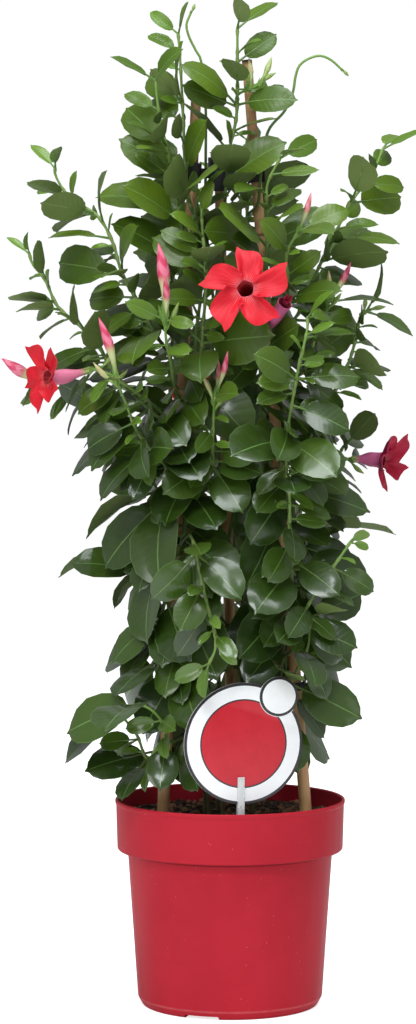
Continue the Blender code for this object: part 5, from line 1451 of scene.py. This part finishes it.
def grow_leaves(stems, obstacles):
    """Opposite leaf pairs up every stem, each pair turned a right angle from the last."""
    leaves = []
    shoots = [stem for stem in stems if stem["name"] in SHOOTS]
    mains = [stem for stem in stems if stem["name"] in VINES]
    for stem in shoots + mains:
        rng = random.Random(stem["name"])
        whole = line_length(stem["line"])
        places = []
        if stem["name"] in SHOOTS:
            _, foot_length, tip_length, pitch, angle = SHOOTS[stem["name"]]
            if foot_length == 0:
                continue
            count = max(1, round((whole - 0.014) / (pitch * SHOOT_PITCH * MM)))
            for i in range(count):
                share = (i + FIRST_PAIR) / (count - 1 + FIRST_PAIR)
                distance = whole * share if tip_length else whole * (0.2 + 0.5 * share)
                size = foot_length + ((tip_length or foot_length) - foot_length) * share**2
                size *= SHOOT_GROWTH * MM
                places.append((min(distance, whole - 0.001), size, angle, 0.35 + 0.4 * share))
                angle += 90 + rng.uniform(-16, 16)
        else:
            first_leaf = VINES[stem["name"]][5] * MM
            angle = rng.uniform(0, 180)
            distance = 0.0
            while distance < whole - 0.006:
                point, _ = at_distance(stem["line"], distance)
                rise = smooth_step(0.40, 0.60, point.z)
                if point.z >= first_leaf:
                    size = MAIN_LENGTH_LOW + (MAIN_LENGTH_HIGH - MAIN_LENGTH_LOW) * rise
                    places.append((distance, size, angle, 0.0))
                    angle += 90 + rng.uniform(-20, 20)
                    pitch = MAIN_PITCH_LOW + (MAIN_PITCH_HIGH - MAIN_PITCH_LOW) * rise
                    distance += pitch * (BACK_PITCH if VINES[stem["name"]][0] == "back" else 1)
                else:
                    distance += ROUTE_STEP
            places.append((whole - 0.002, TIP_PAIR, angle, 0.5))
        for distance, size, angle, upright in places:
            node, tangent = at_distance(stem["line"], distance)
            across = pair_direction(tangent, angle)
            for turn in (1, -1):
                length = size * rng.uniform(0.88, 1.10)
                radial = across * turn
                leaf = leaf_at(node + radial * 0.0002, tangent, radial, length, upright, rng)
                leaf["vine"] = stem["vine"]
                leaf["stem"] = stem["name"]
                found = bend_clear(leaf, obstacles)
                if found:
                    obstacles.append(found)
                    leaves.append(leaf)
    return leaves


# %% [markdown]
# Buds and flowers grow before the leaves, and some room is kept free in front of the label and the
# flowers, as the plant was groomed for its picture.

# %% Grow buds and flowers


def grow_buds(stems, obstacles):
    """Buds at the ends of their shoots: each a foot, a direction, a length and a radius."""
    ends = {stem["name"]: stem for stem in stems}
    buds = []
    for name, own in BUDS.items():
        line = ends[name]["line"]
        ahead = (line[-1] - line[-3]).normalized()
        for number, (length, radius, lean, turn) in enumerate(own):
            direction = around(ahead, pair_direction(ahead, turn), math.radians(lean))
            foot, _ = at_distance(line, line_length(line) - BUD_SINK - BUD_SPACING * number)
            bud = {"vine": ends[name]["vine"], "stem": name, "foot": foot, "ahead": direction.normalized()}
            bud["length"] = length * MM
            bud["radius"] = radius * MM
            buds.append(bud)
            points = [foot + bud["ahead"] * (length * MM * t) for t, _ in BUD_ROWS]
            radii = [bud["radius"] * share + LEAF_SPACE for _, share in BUD_ROWS]
            obstacles.append(tube_guard(points, radii, 5))
    return buds


def bloom_frame(name, stems):
    """A flower's face centre, its way, its radius, its opening and where its calyx is."""
    stalk, centre, way, radius, opening = BLOOMS[name]
    ends = {stem["name"]: stem for stem in stems}
    foot = ends[stalk]["line"][-1]
    return Vector(centre) * MM, Vector(way).normalized(), radius * MM, opening, foot, ends[stalk]


def petal_side(way):
    """The direction square to a flower's way from which its petals are counted."""
    return Matrix.Rotation(PETAL_TURN, 3, way) @ way.orthogonal().normalized()


def tube_bend(centre, way, foot, calyx):
    """Where a flower's tube starts, that far above its stalk's end, and the point that it bends by."""
    bend_end = centre - way * ((centre - foot).length * TUBE_BEND)
    return foot + (bend_end - foot).normalized() * calyx, bend_end


def tube_section(start, bend_end, centre, first_side, share):
    """The middle of a flower's tube at a share of its length, and two directions across it."""
    a = start.lerp(bend_end, share)
    b = bend_end.lerp(centre, share)
    axis = (b - a).normalized()
    side = (first_side - axis * first_side.dot(axis)).normalized()
    return a.lerp(b, share), side, axis.cross(side)


def petal_place(radius, throat, far, reach, spread, sag):
    """How far out from its flower's middle a point of a petal lies, and how far forward."""
    flat = far * (PETAL_FLAT_CLOSED + PETAL_FLAT_GAIN * spread)
    droop = -PETAL_DROOP * radius * reach * reach * spread * sag
    return flat, (1 - spread) * (far - throat) * PETAL_STAND + droop + PETAL_LIFT * radius * reach


def bloom_rings(centre, way, radius, opening, foot):
    """Points of a flower's skin, from the foot of its tube to the edge of its petals."""
    start, bend_end = tube_bend(centre, way, foot, CALYX_LENGTH + GAP)
    spread = max(opening, LEAST_OPEN)
    throat = min(THROAT_RADIUS, radius * 0.55)
    stations = ((0.0, TUBE_FOOT_RADIUS), (0.40, TUBE_FOOT_RADIUS * 1.35), (0.92, throat))
    steps = PETALS * PETAL_STEPS
    first_side = petal_side(way)
    rings = []
    turns = [math.tau * k / steps for k in range(steps)]
    for share, ring_radius in stations:
        middle, side, other = tube_section(start, bend_end, centre, first_side, share)
        rings.append([middle + around(side, other, turn) * ring_radius for turn in turns])
    other = way.cross(first_side)
    for reach in (0.55, 1.0):
        ring = []
        for k in range(steps):
            outline = PETAL_OUTLINE[k % PETAL_STEPS]
            far = throat + (radius * outline - throat) * reach
            turn = math.tau * (k + 0.5 * reach) / steps
            flat, rise = petal_place(radius, throat, far, reach, spread, 1 if outline > 0.9 else 0.3)
            ring.append(centre + around(first_side, other, turn) * flat + way * rise)
        rings.append(ring)
    return rings


ROOM_EDGE = 0.001
LABEL_ROOM = 0.07
BLOOM_ROOM = 0.08


def keep_open():
    """Room that leaves leave free: before the label and the flowers."""
    front = Vector((0, -1, 0.03))
    found = []
    label = Vector(LABEL_CENTRE) * MM
    facing = Vector((math.sin(LABEL_TURN), -math.cos(LABEL_TURN), 0))
    ends = [label - facing * 0.004, label + facing * 0.010, label + front * LABEL_ROOM]
    found.append(tube_guard(ends, [LABEL_RADIUS + ROOM_EDGE] * 3, 14))
    tab = label + Matrix.Rotation(LABEL_TURN, 3, "Z") @ Vector((TAB_PLACE[0], 0, TAB_PLACE[1]))
    found.append(tube_guard([tab - facing * 0.004, tab + facing * 0.05], [TAB_RADIUS + ROOM_EDGE] * 2, 10))
    for name, (_, centre, way, radius, opening) in BLOOMS.items():
        middle = Vector(centre) * MM
        ahead = Vector(way).normalized()
        wide = radius * MM * (0.3 + 0.7 * opening)
        found.append(tube_guard([middle - ahead * 0.002, middle + ahead * 0.03], [wide, wide * 1.02], 12))
    for name in ("bloom_main", "bloom_left", "bloom_right"):
        middle = Vector(BLOOMS[name][1]) * MM
        wide = BLOOMS[name][3] * MM * 0.82
        found.append(tube_guard([middle + front * 0.004, middle + front * BLOOM_ROOM], [wide, wide], 12))
    return found


def grow_blooms(stems, obstacles):
    """Every flower as a record: its vine, and its calyx's foot and direction."""
    blooms = {}
    for name in BLOOMS:
        centre, way, radius, opening, foot, stalk = bloom_frame(name, stems)
        rings = bloom_rings(centre, way, radius, opening, foot)
        verts = [p for ring in rings for p in ring]
        steps = len(rings[0])
        obstacles.append(guard(verts, ring_faces(len(rings), steps)))
        blooms[name] = {"vine": stalk["vine"], "foot": foot}
        blooms[name]["ahead"] = (sum(rings[0], Vector()) / steps - foot).normalized()
    return blooms


# %% Grow the plant


def grow_plant():
    """The whole plant in numbers: stems, leaves, buds, flowers, and what else would grow keeps clear of."""
    stems = grow_stems()
    obstacles = []
    for stem in stems:
        line = stem["line"]
        points = line[::3] + [line[-1]]
        last = len(points) - 1
        radii = [stem_radius(stem, i / last) + LEAF_SPACE + 0.0004 for i in range(last + 1)]
        obstacles.append(tube_guard(points, radii, 5))
    for a, b, radius in capsules():
        obstacles.append(tube_guard([a, b], [radius + 0.0005] * 2, 8))
    blooms = grow_blooms(stems, obstacles)
    obstacles += keep_open()
    buds = grow_buds(stems, obstacles)
    leaves = grow_leaves(stems, obstacles)
    return stems, leaves, buds, blooms, obstacles


TIP_BUD = {"length": 0.008, "radius": 0.0013}
stems, leaves, buds, blooms, obstacles = grow_plant()
for stem in stems:
    if stem["name"] in ("tendril", "whip"):
        end = stem["line"][-1]
        tip = {"foot": end, "ahead": (end - stem["line"][-3]).normalized()}
        buds.append({"vine": stem["vine"], "stem": stem["name"]} | tip | TIP_BUD)
print("stems", len(stems), "leaves", len(leaves), "buds", len(buds), "flowers", len(blooms))

# %% [markdown]
# ## Inner leaves
# A real plant carries many more leaves than the solids hold. They are sown by the same rule between
# the pairs, large ones first and then small ones, and only where there is room.

# %% Grow the inner leaves
INNER_ROUNDS = ((0.016, 0.038, 0.054), (0.011, 0.020, 0.040))
SPIRAL_TURN = 137.5


def grow_inner(stems, obstacles, pitch, shortest, longest):
    """Single leaves between the pairs, about a pitch apart, wherever there is room."""
    found = []
    for stem in stems:
        if stem["name"] in BARE_SHOOTS:
            continue
        rng = random.Random(f"inner {pitch} {stem['name']}")
        whole = line_length(stem["line"])
        low = VINES[stem["name"]][5] * MM if stem["name"] in VINES else 0.0
        distance = pitch * rng.uniform(0.4, 0.9)
        angle = rng.uniform(0, 360)
        while distance < whole - 0.012:
            node, tangent = at_distance(stem["line"], distance)
            if node.z > low:
                across = pair_direction(tangent, angle)
                end = 1 - 0.45 * distance / whole if stem["name"] in SHOOTS else 1.0
                length = rng.uniform(shortest, longest) * end
                leaf = leaf_at(node + across * 0.0002, tangent, across, length, 0.3, rng)
                leaf["vine"] = stem["vine"]
                leaf["stem"] = stem["name"]
                leaf["young"] *= 0.4 if stem["name"] in VINES else 0.8
                guarded = bend_clear(leaf, obstacles)
                if guarded:
                    obstacles.append(guarded)
                    found.append(leaf)
            angle += SPIRAL_TURN
            distance += pitch * rng.uniform(0.8, 1.2)
    return found


for pitch, shortest, longest in INNER_ROUNDS:
    inner_leaves = grow_inner(stems, obstacles, pitch, shortest, longest)
    leaves += inner_leaves
    print("inner leaves", len(inner_leaves), "all leaves", len(leaves))


# %% [markdown]
# ## Leaf patterns
# Hundreds of leaves share one pattern of a few dozen faces: two grids, one for the top and one for
# the underside, that meet along the leaf's edge. The rows stand closer near the base and the tip,
# where the outline turns. Every leaf is a copy of it whose points are moved by the blade formula.
# The formula is left-handed, so the pattern's faces are turned round to point outwards again.
# The stalk is a second pattern, a slim tube that runs on under the blade as the raised midrib.

# %% Model the blade pattern and the stalk pattern
BLADE_ROWS = (0.0, 0.05, 0.17, 0.36, 0.58, 0.78, 0.905, 0.945, 1.0)
ROW_WIDTHS = (0.10, 0.45, 0.77, 0.98, 0.98, 0.77, 0.41, 0.13, 0.02)
BLADE_WIDE = 4


def blade_pattern():
    """Points (t, u, side) and faces of a closed blade: side is 1 on top, -1 below and 0 at the edge."""
    clear_selection()
    long = len(BLADE_ROWS) - 1
    bpy.ops.mesh.primitive_grid_add(x_subdivisions=long, y_subdivisions=BLADE_WIDE, size=2)
    plate = settle(bpy.context.object, "blade_pattern")
    for vert in plate.data.vertices:
        inside = max(abs(vert.co.x), abs(vert.co.y)) < 0.999
        vert.co = (round((0.5 + vert.co.x / 2) * long), vert.co.y, 1.0 if inside else 0.0)
    choose(plate)
    bpy.ops.object.mode_set(mode="EDIT")
    bpy.ops.mesh.select_all(action="SELECT")
    bpy.ops.mesh.duplicate()
    bpy.ops.transform.resize(value=(1, 1, -1), orient_type="GLOBAL", center_override=(0, 0, 0))
    weld(0.0001)
    points = [(BLADE_ROWS[round(vert.co.x)], vert.co.y, vert.co.z) for vert in plate.data.vertices]
    faces = [tuple(reversed(face.vertices)) for face in plate.data.polygons]
    bpy.data.objects.remove(plate)
    return points, faces


BLADE_POINTS, BLADE_FACES = blade_pattern()


def blade_copy(leaf):
    """The points of one leaf's blade: a full oval with a short sharp tip, its middle a little thicker."""
    points = []
    for t, u, side in BLADE_POINTS:
        width = ROW_WIDTHS[BLADE_ROWS.index(t)]
        t = 0.003 + 0.994 * t
        point, normal = blade_point(leaf, t, u * width / blade_half_width(t))
        ripple = leaf["length"] * 0.012 * u * u * math.sin(math.tau * (1.8 * t + leaf["wave"]) + u)
        groove = -0.0006 * (1 - t) * (u == 0)
        points.append(point + normal * (ripple + groove + side * BLADE_THICKNESS * 0.40))
    return points


STALK_MARKS = (0.12, 0.42, 0.76)
STALK_SIDES = 5


def stalk_copy(leaf):
    """A leaf's stalk and the midrib that it runs into."""
    points = [leaf["root"] - leaf["ahead"] * 0.0004, leaf["base"]]
    thick = min(0.0010, 0.0005 + leaf["length"] * 0.010)
    radii = [thick * 1.25, thick * 0.95]
    for t, share in zip(STALK_MARKS, (0.8, 0.5, 0.2)):
        point, normal = blade_point(leaf, t, 0)
        points.append(point - normal * thick * share * 0.55)
        radii.append(thick * share)
    return sweep(points, radii, STALK_SIDES)


# %% [markdown]
# ## Building a vine
# Each main stem is one piece with its shoots, leaves and buds. All their points go into one mesh
# with two attributes that the finishes read: where a point lies on its blade, and the leaf's own
# tone, youth and kind.

# %% Gather points, faces and attributes


class Growth:
    """The points and faces of one plant piece while it is put together."""

    def __init__(self):
        self.points = []
        self.faces = []
        self.finish = []
        self.blade = []
        self.tone = []

    def add(self, points, faces, finish, blade, tone):
        first = len(self.points)
        self.points += points
        self.faces += [tuple(first + i for i in face) for face in faces]
        self.finish += [finish] * len(faces)
        self.blade += blade
        self.tone += [tone] * len(points) if isinstance(tone, tuple) else tone

    def build(self, name, materials):
        mesh = bpy.data.meshes.new(name)
        mesh.from_pydata(self.points, [], self.faces)
        for material in materials:
            mesh.materials.append(material)
        mesh.polygons.foreach_set("material_index", self.finish)
        for label, rows in (("blade", self.blade), ("tone", self.tone)):
            data = mesh.attributes.new(label, "FLOAT_VECTOR", "POINT")
            data.data.foreach_set("vector", [value for row in rows for value in row])
        mesh.update()
        obj = bpy.data.objects.new(name, mesh)
        show(obj)
        return obj


LEAF, STEM, BUD = range(3)
OFF_BLADE = (0.5, 0.0, 0.0)


def add_leaf(growth, leaf, rng):
    leaf["wave"] = rng.random()
    leaf["half"] *= 0.72 + 0.28 * smooth_step(0.016, 0.042, leaf["length"])
    tone = (rng.random(), leaf["young"], rng.random())
    growth.add(blade_copy(leaf), BLADE_FACES, LEAF, BLADE_POINTS, tone)
    points, faces = stalk_copy(leaf)
    stalk_tone = (tone[0], 0.35 + 0.65 * leaf["young"], 0.0)
    growth.add(points, faces, STEM, [OFF_BLADE] * len(points), stalk_tone)


STEM_SIDES = 8


def add_stem(growth, stem, nodes):
    """A stem as a smooth tube that swells where leaves join it."""
    line = stem["line"]
    whole = line_length(line)
    radii = []
    tones = []
    gone = 0.0
    for i, point in enumerate(line):
        if i:
            gone += (point - line[i - 1]).length
        swell = sum(math.exp(-(((gone - node) / 0.0022) ** 2)) for node in nodes)
        share = gone / whole
        radii.append(stem_radius(stem, share) + 0.0005 * min(1.0, swell))
        young = share if stem["name"] in SHOOTS else 0.7 * share
        tones += [(0.5, young, min(1.0, swell))] * STEM_SIDES
    points, faces = sweep(line, radii, STEM_SIDES)
    growth.add(points, faces, STEM, [OFF_BLADE] * len(points), tones)


BUD_SHAPE = ((0.0, 0.40), (0.06, 0.46), (0.16, 0.44), (0.28, 0.50), (0.40, 0.68), (0.52, 0.92), (0.60, 1.0),
             (0.70, 0.93), (0.80, 0.72), (0.90, 0.42), (0.97, 0.18), (1.0, 0.06))
FINE_BUD_SIDES = 10


def add_bud(growth, bud):
    """A bud: rolled petals that swell past the middle and end in a twisted point."""
    side = bud["ahead"].orthogonal().normalized()
    points = []
    blade = []
    for t, share in BUD_SHAPE:
        bow = side * (bud["length"] * 0.05 * math.sin(math.pi * t))
        middle = bud["foot"] + bud["ahead"] * (bud["length"] * t) + bow
        other = bud["ahead"].cross(side)
        for k in range(FINE_BUD_SIDES):
            turn = math.tau * (k / FINE_BUD_SIDES + 0.30 * t)
            ridge = 1 + 0.07 * math.sin(5 * math.tau * k / FINE_BUD_SIDES)
            reach = bud["radius"] * share * ridge
            points.append(middle + around(side, other, turn) * reach)
            blade.append((t, math.sin(5 * math.pi * k / FINE_BUD_SIDES), 1.0))
    faces = closed_faces(len(BUD_SHAPE), FINE_BUD_SIDES)
    ripe = smooth_step(0.016, 0.045, bud["length"])
    growth.add(points, faces, BUD, blade, (0.5, ripe, 0.0))
    add_sepals(growth, bud["foot"], bud["ahead"], bud["radius"] * 0.62, bud["length"] * 0.16 + 0.0016)


SEPALS = 5


def add_sepals(growth, foot, ahead, radius, length):
    """Five narrow green sepals that clasp the foot of a bud or flower."""
    side = ahead.orthogonal().normalized()
    other = ahead.cross(side)
    for k in range(SEPALS):
        turn = math.tau * k / SEPALS
        out = around(side, other, turn)
        marks = [foot - ahead * 0.0012 + out * radius * 0.3, foot + ahead * length * 0.35 + out * radius,
                 foot + ahead * length + out * radius * 1.25]
        points, faces = sweep(marks, [radius * 0.5, radius * 0.42, radius * 0.06], 5)
        growth.add(points, faces, STEM, [OFF_BLADE] * len(points), (0.5, 0.8, 0.0))


# %% [markdown]
# ## Leaf finish
# A mandevilla leaf is deep green and glossy above, with a pale midrib, fine side veins that rise
# towards the tip and a thin pale edge. Its underside is dull olive. Young leaves are bright yellow
# green. All of that follows the leaf, so the pattern is drawn in blade coordinates.

# %% Build the vein group


def make_veins():
    inputs = [("Along", "NodeSocketFloat", 0.5), ("Across", "NodeSocketFloat", 0.0)]
    group, given, made = new_group("leaf_veins", inputs, ["Midrib", "Veins", "Edge", "Quilt"])
    far = sum_up(group, "ABSOLUTE", given.outputs["Across"])
    midrib = ramp(group, far, 0.012, 0.042, 1.0, 0.0)
    rising = sum_up(group, "SUBTRACT", times(group, given.outputs["Along"], 9.0),
                    times(group, far, 1.5))
    wave = sum_up(group, "PINGPONG", rising, 0.5)
    veins = times(group, ramp(group, wave, 0.0, 0.06, 1.0, 0.0), ramp(group, far, 0.45, 0.92, 1.0, 0.0))
    group.links.new(midrib, made.inputs["Midrib"])
    group.links.new(veins, made.inputs["Veins"])
    group.links.new(ramp(group, far, 0.94, 0.985), made.inputs["Edge"])
    group.links.new(times(group, ramp(group, wave, 0.0, 0.34), ramp(group, far, 0.0, 0.14)),
                    made.inputs["Quilt"])
    return group


VEINS = make_veins()

# %% Finish the leaves
leaf_green, tree, shader = new_finish("leaf_green", Coat_Roughness=0.16, Specular_IOR_Level=0.32)
blade = attribute(tree, "blade")
tone = attribute(tree, "tone")
veins = place_group(tree, VEINS, Along=blade["X"], Across=blade["Y"])
patches = blotches(tree, 38.0)
height = height_above_floor(tree)
# The top colour runs from a darker green low on the plant to a lighter, yellower green high up.
high = ramp(tree, height, 0.38, 0.57)
wax = ramp(tree, height, 0.40, 0.60, 0.90, 0.16)
lower_green = blend(tree, tone["X"], (0.011, 0.030, 0.003), (0.037, 0.082, 0.006))
upper_green = blend(tree, tone["X"], (0.060, 0.118, 0.006), (0.116, 0.190, 0.010))
light = plus(tree, times(tree, high, 0.75), times(tree, tone["Z"], 0.20))
top = blend(tree, light, lower_green, upper_green)
top = blend(tree, times(tree, patches, 0.22), top, (0.052, 0.110, 0.014))
top = blend(tree, tone["Y"], top, (0.165, 0.310, 0.028))
top = blend(tree, times(tree, veins["Veins"], 0.14), top, (0.070, 0.170, 0.045))
top = blend(tree, times(tree, veins["Midrib"], 0.70), top, (0.170, 0.320, 0.080))
top = blend(tree, times(tree, veins["Edge"], 0.40), top, (0.110, 0.210, 0.060))
under = blend(tree, tone["X"], (0.105, 0.160, 0.038), (0.190, 0.260, 0.075))
under = blend(tree, tone["Y"], under, (0.200, 0.330, 0.080))
under = blend(tree, times(tree, veins["Midrib"], 0.6), under, (0.260, 0.360, 0.140))
is_top = ramp(tree, blade["Z"], -0.06, 0.06)
paint(tree, shader, blend(tree, is_top, under, top))
gloss = plus(tree, ramp(tree, patches, 0.0, 1.0, 0.30, 0.40), times(tree, tone["Z"], 0.10))
rough = tree.nodes.new("ShaderNodeMix")
join(tree, rough.inputs["Factor"], is_top)
rough.inputs[2].default_value = 0.62
join(tree, rough.inputs[3], gloss)
join(tree, shader.inputs["Roughness"], rough.outputs[0])
join(tree, shader.inputs["Coat Weight"], times(tree, is_top, wax))
relief = plus(tree, times(tree, veins["Quilt"], 0.4), grain(tree, 55.0, 2.0))
bump(tree, shader, relief, 0.0005, 0.30)

# %% [markdown]
# ## Stem and bud finishes
# Young stems are bright green, and older ones turn brown and woody from the soil up, with paler
# rings where leaves join. Buds are green and open to a rolled pink tip with spiral stripes.

# %% Finish the stems and buds
stem_green, tree, shader = new_finish("stem_green", Roughness=0.5)
tone = attribute(tree, "tone")
patches = blotches(tree, 120.0)
low = ramp(tree, height_above_floor(tree), 0.22, 0.42, 1.0, 0.0)
woody = times(tree, low, ramp(tree, tone["Y"], 0.1, 0.6, 1.0, 0.15))
woody = times(tree, woody, ramp(tree, patches, 0.0, 1.0, 0.4, 0.9))
colour = blend(tree, tone["Y"], (0.075, 0.135, 0.032), (0.180, 0.330, 0.055))
colour = blend(tree, times(tree, tone["Z"], 0.5), colour, (0.230, 0.270, 0.080))
colour = blend(tree, woody, colour, (0.110, 0.070, 0.032))
paint(tree, shader, colour)
bump(tree, shader, grain(tree, 700.0, 3.0), 0.0003, 0.5)

bud_pink, tree, shader = new_finish("bud_pink", Roughness=0.48)
blade = attribute(tree, "blade")
tone = attribute(tree, "tone")
twist = plus(tree, times(tree, blade["X"], 26.0), times(tree, blade["Y"], 1.6))
stripes = sum_up(tree, "SINE", twist)
rolled = blend(tree, ramp(tree, stripes, -0.6, 0.7), (0.80, 0.20, 0.30), (0.66, 0.050, 0.130))
cream = blend(tree, ramp(tree, tone["Y"], 0.05, 0.5), (0.26, 0.37, 0.09), (0.60, 0.62, 0.30))
base_green = blend(tree, ramp(tree, blade["X"], 0.08, 0.46), (0.17, 0.30, 0.06), cream)
pinkness = times(tree, ramp(tree, blade["X"], 0.44, 0.60), ramp(tree, tone["Y"], 0.15, 0.60))
paint(tree, shader, blend(tree, pinkness, base_green, rolled))
bump(tree, shader, stripes, 0.0002, 0.5)

# %% Build every vine


def distance_on(line, point):
    """How far along a line its nearest mark to a point is."""
    gone = 0.0
    best = (1e9, 0.0)
    for a, b in zip(line, line[1:]):
        best = min(best, ((a - point).length, gone))
        gone += (b - a).length
    return best[1]


leaf_rng = random.Random("leaf tones")
for name in VINES:
    growth = Growth()
    for stem in stems:
        if stem["vine"] == name:
            whole = line_length(stem["line"])
            own = [leaf for leaf in leaves if leaf["stem"] == stem["name"]]
            nodes = sorted({round(distance_on(stem["line"], leaf["root"]), 4) for leaf in own})
            add_stem(growth, stem, nodes)
    for leaf in leaves:
        if leaf["vine"] == name:
            add_leaf(growth, leaf, leaf_rng)
    for bud in buds:
        if bud["vine"] == name:
            add_bud(growth, bud)
    for bloom in blooms.values():
        if bloom["vine"] == name:
            add_sepals(growth, bloom["foot"], bloom["ahead"], TUBE_FOOT_RADIUS * 1.05, CALYX_LENGTH + 0.0035)
    vine = growth.build("grown_" + name, [leaf_green, stem_green, bud_pink])
    smooth(vine, 60)
    dress(vine, None, "foliage_green", name)


# %% [markdown]
# ## Flowers
# A mandevilla flower is a trumpet: a narrow tube that widens into a throat, and five broad petals
# that overlap like a pinwheel, each with one pointed corner. The tube is swept along its bend. One
# petal is a grid that is bent by formula, and five turned copies make the face.

# %% Model the flowers
PETAL_LONG = 14
PETAL_WIDE = 22
PETAL_RISE = 0.0010
PETAL_THICKNESS = 0.0005
THROAT_SHARE = 0.86


def petal_reach(s):
    """How far a petal reaches at s across it: rounded at its near side, pointed at its far side."""
    near = smooth_step(-0.16, 0.46, s)
    far = 1 - smooth_step(0.86, 1.04, s)
    return 0.38 + 0.60 * min(near, far) * (0.86 + 0.10 * s) + 0.12 * math.exp(-(((s - 0.85) / 0.065) ** 2))


def petal_points(centre, way, side, radius, opening, throat, number):
    """The points of one petal, with where each lies on it."""
    other = way.cross(side)
    spread = max(opening, LEAST_OPEN)
    points = []
    blade = []
    for i in range(PETAL_LONG + 1):
        reach = i / PETAL_LONG
        for j in range(PETAL_WIDE + 1):
            s = -0.14 + 1.28 * j / PETAL_WIDE
            edge = radius * petal_reach(s) * (0.97 + 0.04 * math.sin(2.1 * number))
            far = throat + (edge - throat) * reach
            s_here = 0.5 + (s - 0.5) * (0.80 + 0.20 * reach)
            turn = math.tau * (number + s_here + reach / 6) / PETALS
            middle = math.sin(math.pi * min(1, max(0, s)))
            flat, rise = petal_place(radius, throat, far, reach, spread, 0.4 + 0.6 * middle)
            rise += PETAL_RISE * (0.5 - s) * 1.6 * min(1.0, reach * 4 + 0.15)
            rise += radius * 0.035 * reach * math.sin(math.tau * (s * 1.3 + number * 0.37 + reach))
            rise += radius * 0.10 * reach * reach * math.sin(1.9 * number + 0.6)
            points.append(centre + around(side, other, turn) * flat + way * rise)
            blade.append((0.3 + 0.7 * reach, s, 1.0))
    return points, blade


def grid_faces(long, wide):
    row = wide + 1
    return [(i * row + j, i * row + j + 1, (i + 1) * row + j + 1, (i + 1) * row + j)
            for i in range(long) for j in range(wide)]


TUBE_STEPS = 40
TUBE_ROWS = 16


def tube_points(centre, way, foot, throat):
    """The points of a flower's tube, swept along its bend and widening to its throat."""
    start, bend_end = tube_bend(centre, way, foot, CALYX_LENGTH * 0.3)
    first_side = petal_side(way)
    points = []
    blade = []
    for i in range(TUBE_ROWS + 1):
        share = i / TUBE_ROWS
        middle, side, other = tube_section(start, bend_end, centre, first_side, share)
        belly = smooth_step(0.18, 0.60, share)
        radius = TUBE_FOOT_RADIUS * (1 + 0.35 * smooth_step(0, 0.4, share))
        flare = smooth_step(0.7, 1.0, share) ** 2
        radius += (throat - TUBE_FOOT_RADIUS * 1.35) * (0.72 * belly + 0.28 * flare)
        for k in range(TUBE_STEPS):
            turn = math.tau * k / TUBE_STEPS
            flute = 1 + 0.03 * share * math.cos(PETALS * turn)
            points.append(middle + around(side, other, turn) * radius * flute)
            blade.append((0.3 * share, PETALS * k / TUBE_STEPS, 0.0))
    return points, blade


def make_bloom(name, finishes):
    centre, way, radius, opening, foot, _ = bloom_frame(name, stems)
    throat = min(THROAT_RADIUS, radius * 0.55) * THROAT_SHARE
    side = petal_side(way)
    growth = Growth()
    points, blade = tube_points(centre, way, foot, throat)
    growth.add(points, ring_faces(TUBE_ROWS + 1, TUBE_STEPS), 0, blade, (0.5, opening, 0.0))
    for number in range(PETALS):
        points, blade = petal_points(centre, way, side, radius, opening, throat, number)
        growth.add(points, grid_faces(PETAL_LONG, PETAL_WIDE), 0, blade, (0.5, opening, 0.0))
    obj = growth.build("flower_" + name.removeprefix("bloom_"), finishes)
    choose(obj)
    skin = obj.modifiers.new("Thickness", "SOLIDIFY")
    skin.thickness = PETAL_THICKNESS
    skin.offset = 0.0
    skin.material_offset = 1
    apply_modifiers(obj)
    smooth(obj, 70)
    return obj


# %% [markdown]
# ## Petal finish
# The faces are a bright red with faint lengthwise veins, and they darken to crimson with a few pale
# streaks in the throat. The backs are duller, and the tube fades to pink and then to green at its
# foot. The skin's two sides have a finish each.

# %% Finish the flowers


def petal_finish(name, bright, deep, tube=None):
    """The finish of the faces, or of the backs when the tube's colour is given."""
    material, tree, shader = new_finish(name, Roughness=0.5, Specular_IOR_Level=0.25)
    blade = attribute(tree, "blade")
    lines = sum_up(tree, "SINE", times(tree, blade["Y"], 46.0))
    patches = blotches(tree, 70.0)
    colour = blend(tree, patches, bright, tuple(0.86 * part for part in bright))
    colour = blend(tree, times(tree, ramp(tree, lines, 0.4, 1.0), 0.10), colour, deep)
    if tube:
        colour = blend(tree, ramp(tree, blade["X"], 0.20, 0.55, 1.0, 0.0), colour, tube)
        colour = blend(tree, ramp(tree, blade["X"], 0.0, 0.07, 1.0, 0.0), colour, (0.42, 0.47, 0.16))
    else:
        colour = blend(tree, ramp(tree, blade["X"], 0.20, 0.42, 0.9, 0.0), colour, deep)
        throat = ramp(tree, blade["X"], 0.30, 0.52, 0.7, 0.0)
        streaks = times(tree, ramp(tree, lines, 0.70, 1.0), throat)
        colour = blend(tree, streaks, colour, (0.86, 0.42, 0.40))
    paint(tree, shader, colour)
    bump(tree, shader, lines, 0.0003, 0.15)
    return material


RED = (petal_finish("petal_red_back", (0.62, 0.020, 0.040), (0.30, 0.004, 0.014), (0.76, 0.20, 0.33)),
       petal_finish("petal_red", (0.67, 0.010, 0.024), (0.38, 0.004, 0.012)))
CRIMSON = (petal_finish("petal_crimson_back", (0.42, 0.014, 0.075), (0.24, 0.004, 0.030), (0.62, 0.13, 0.29)),
           petal_finish("petal_crimson", (0.44, 0.006, 0.036), (0.26, 0.003, 0.018)))
for name in BLOOMS:
    crimson = name in ("bloom_right", "bloom_half")
    dress(make_bloom(name, CRIMSON if crimson else RED), None, "petal_red", name)


# %% [markdown]
# ## Finish
# The dressed plant must stay the size of its solids.

# %% Finish
bpy.context.view_layer.update()
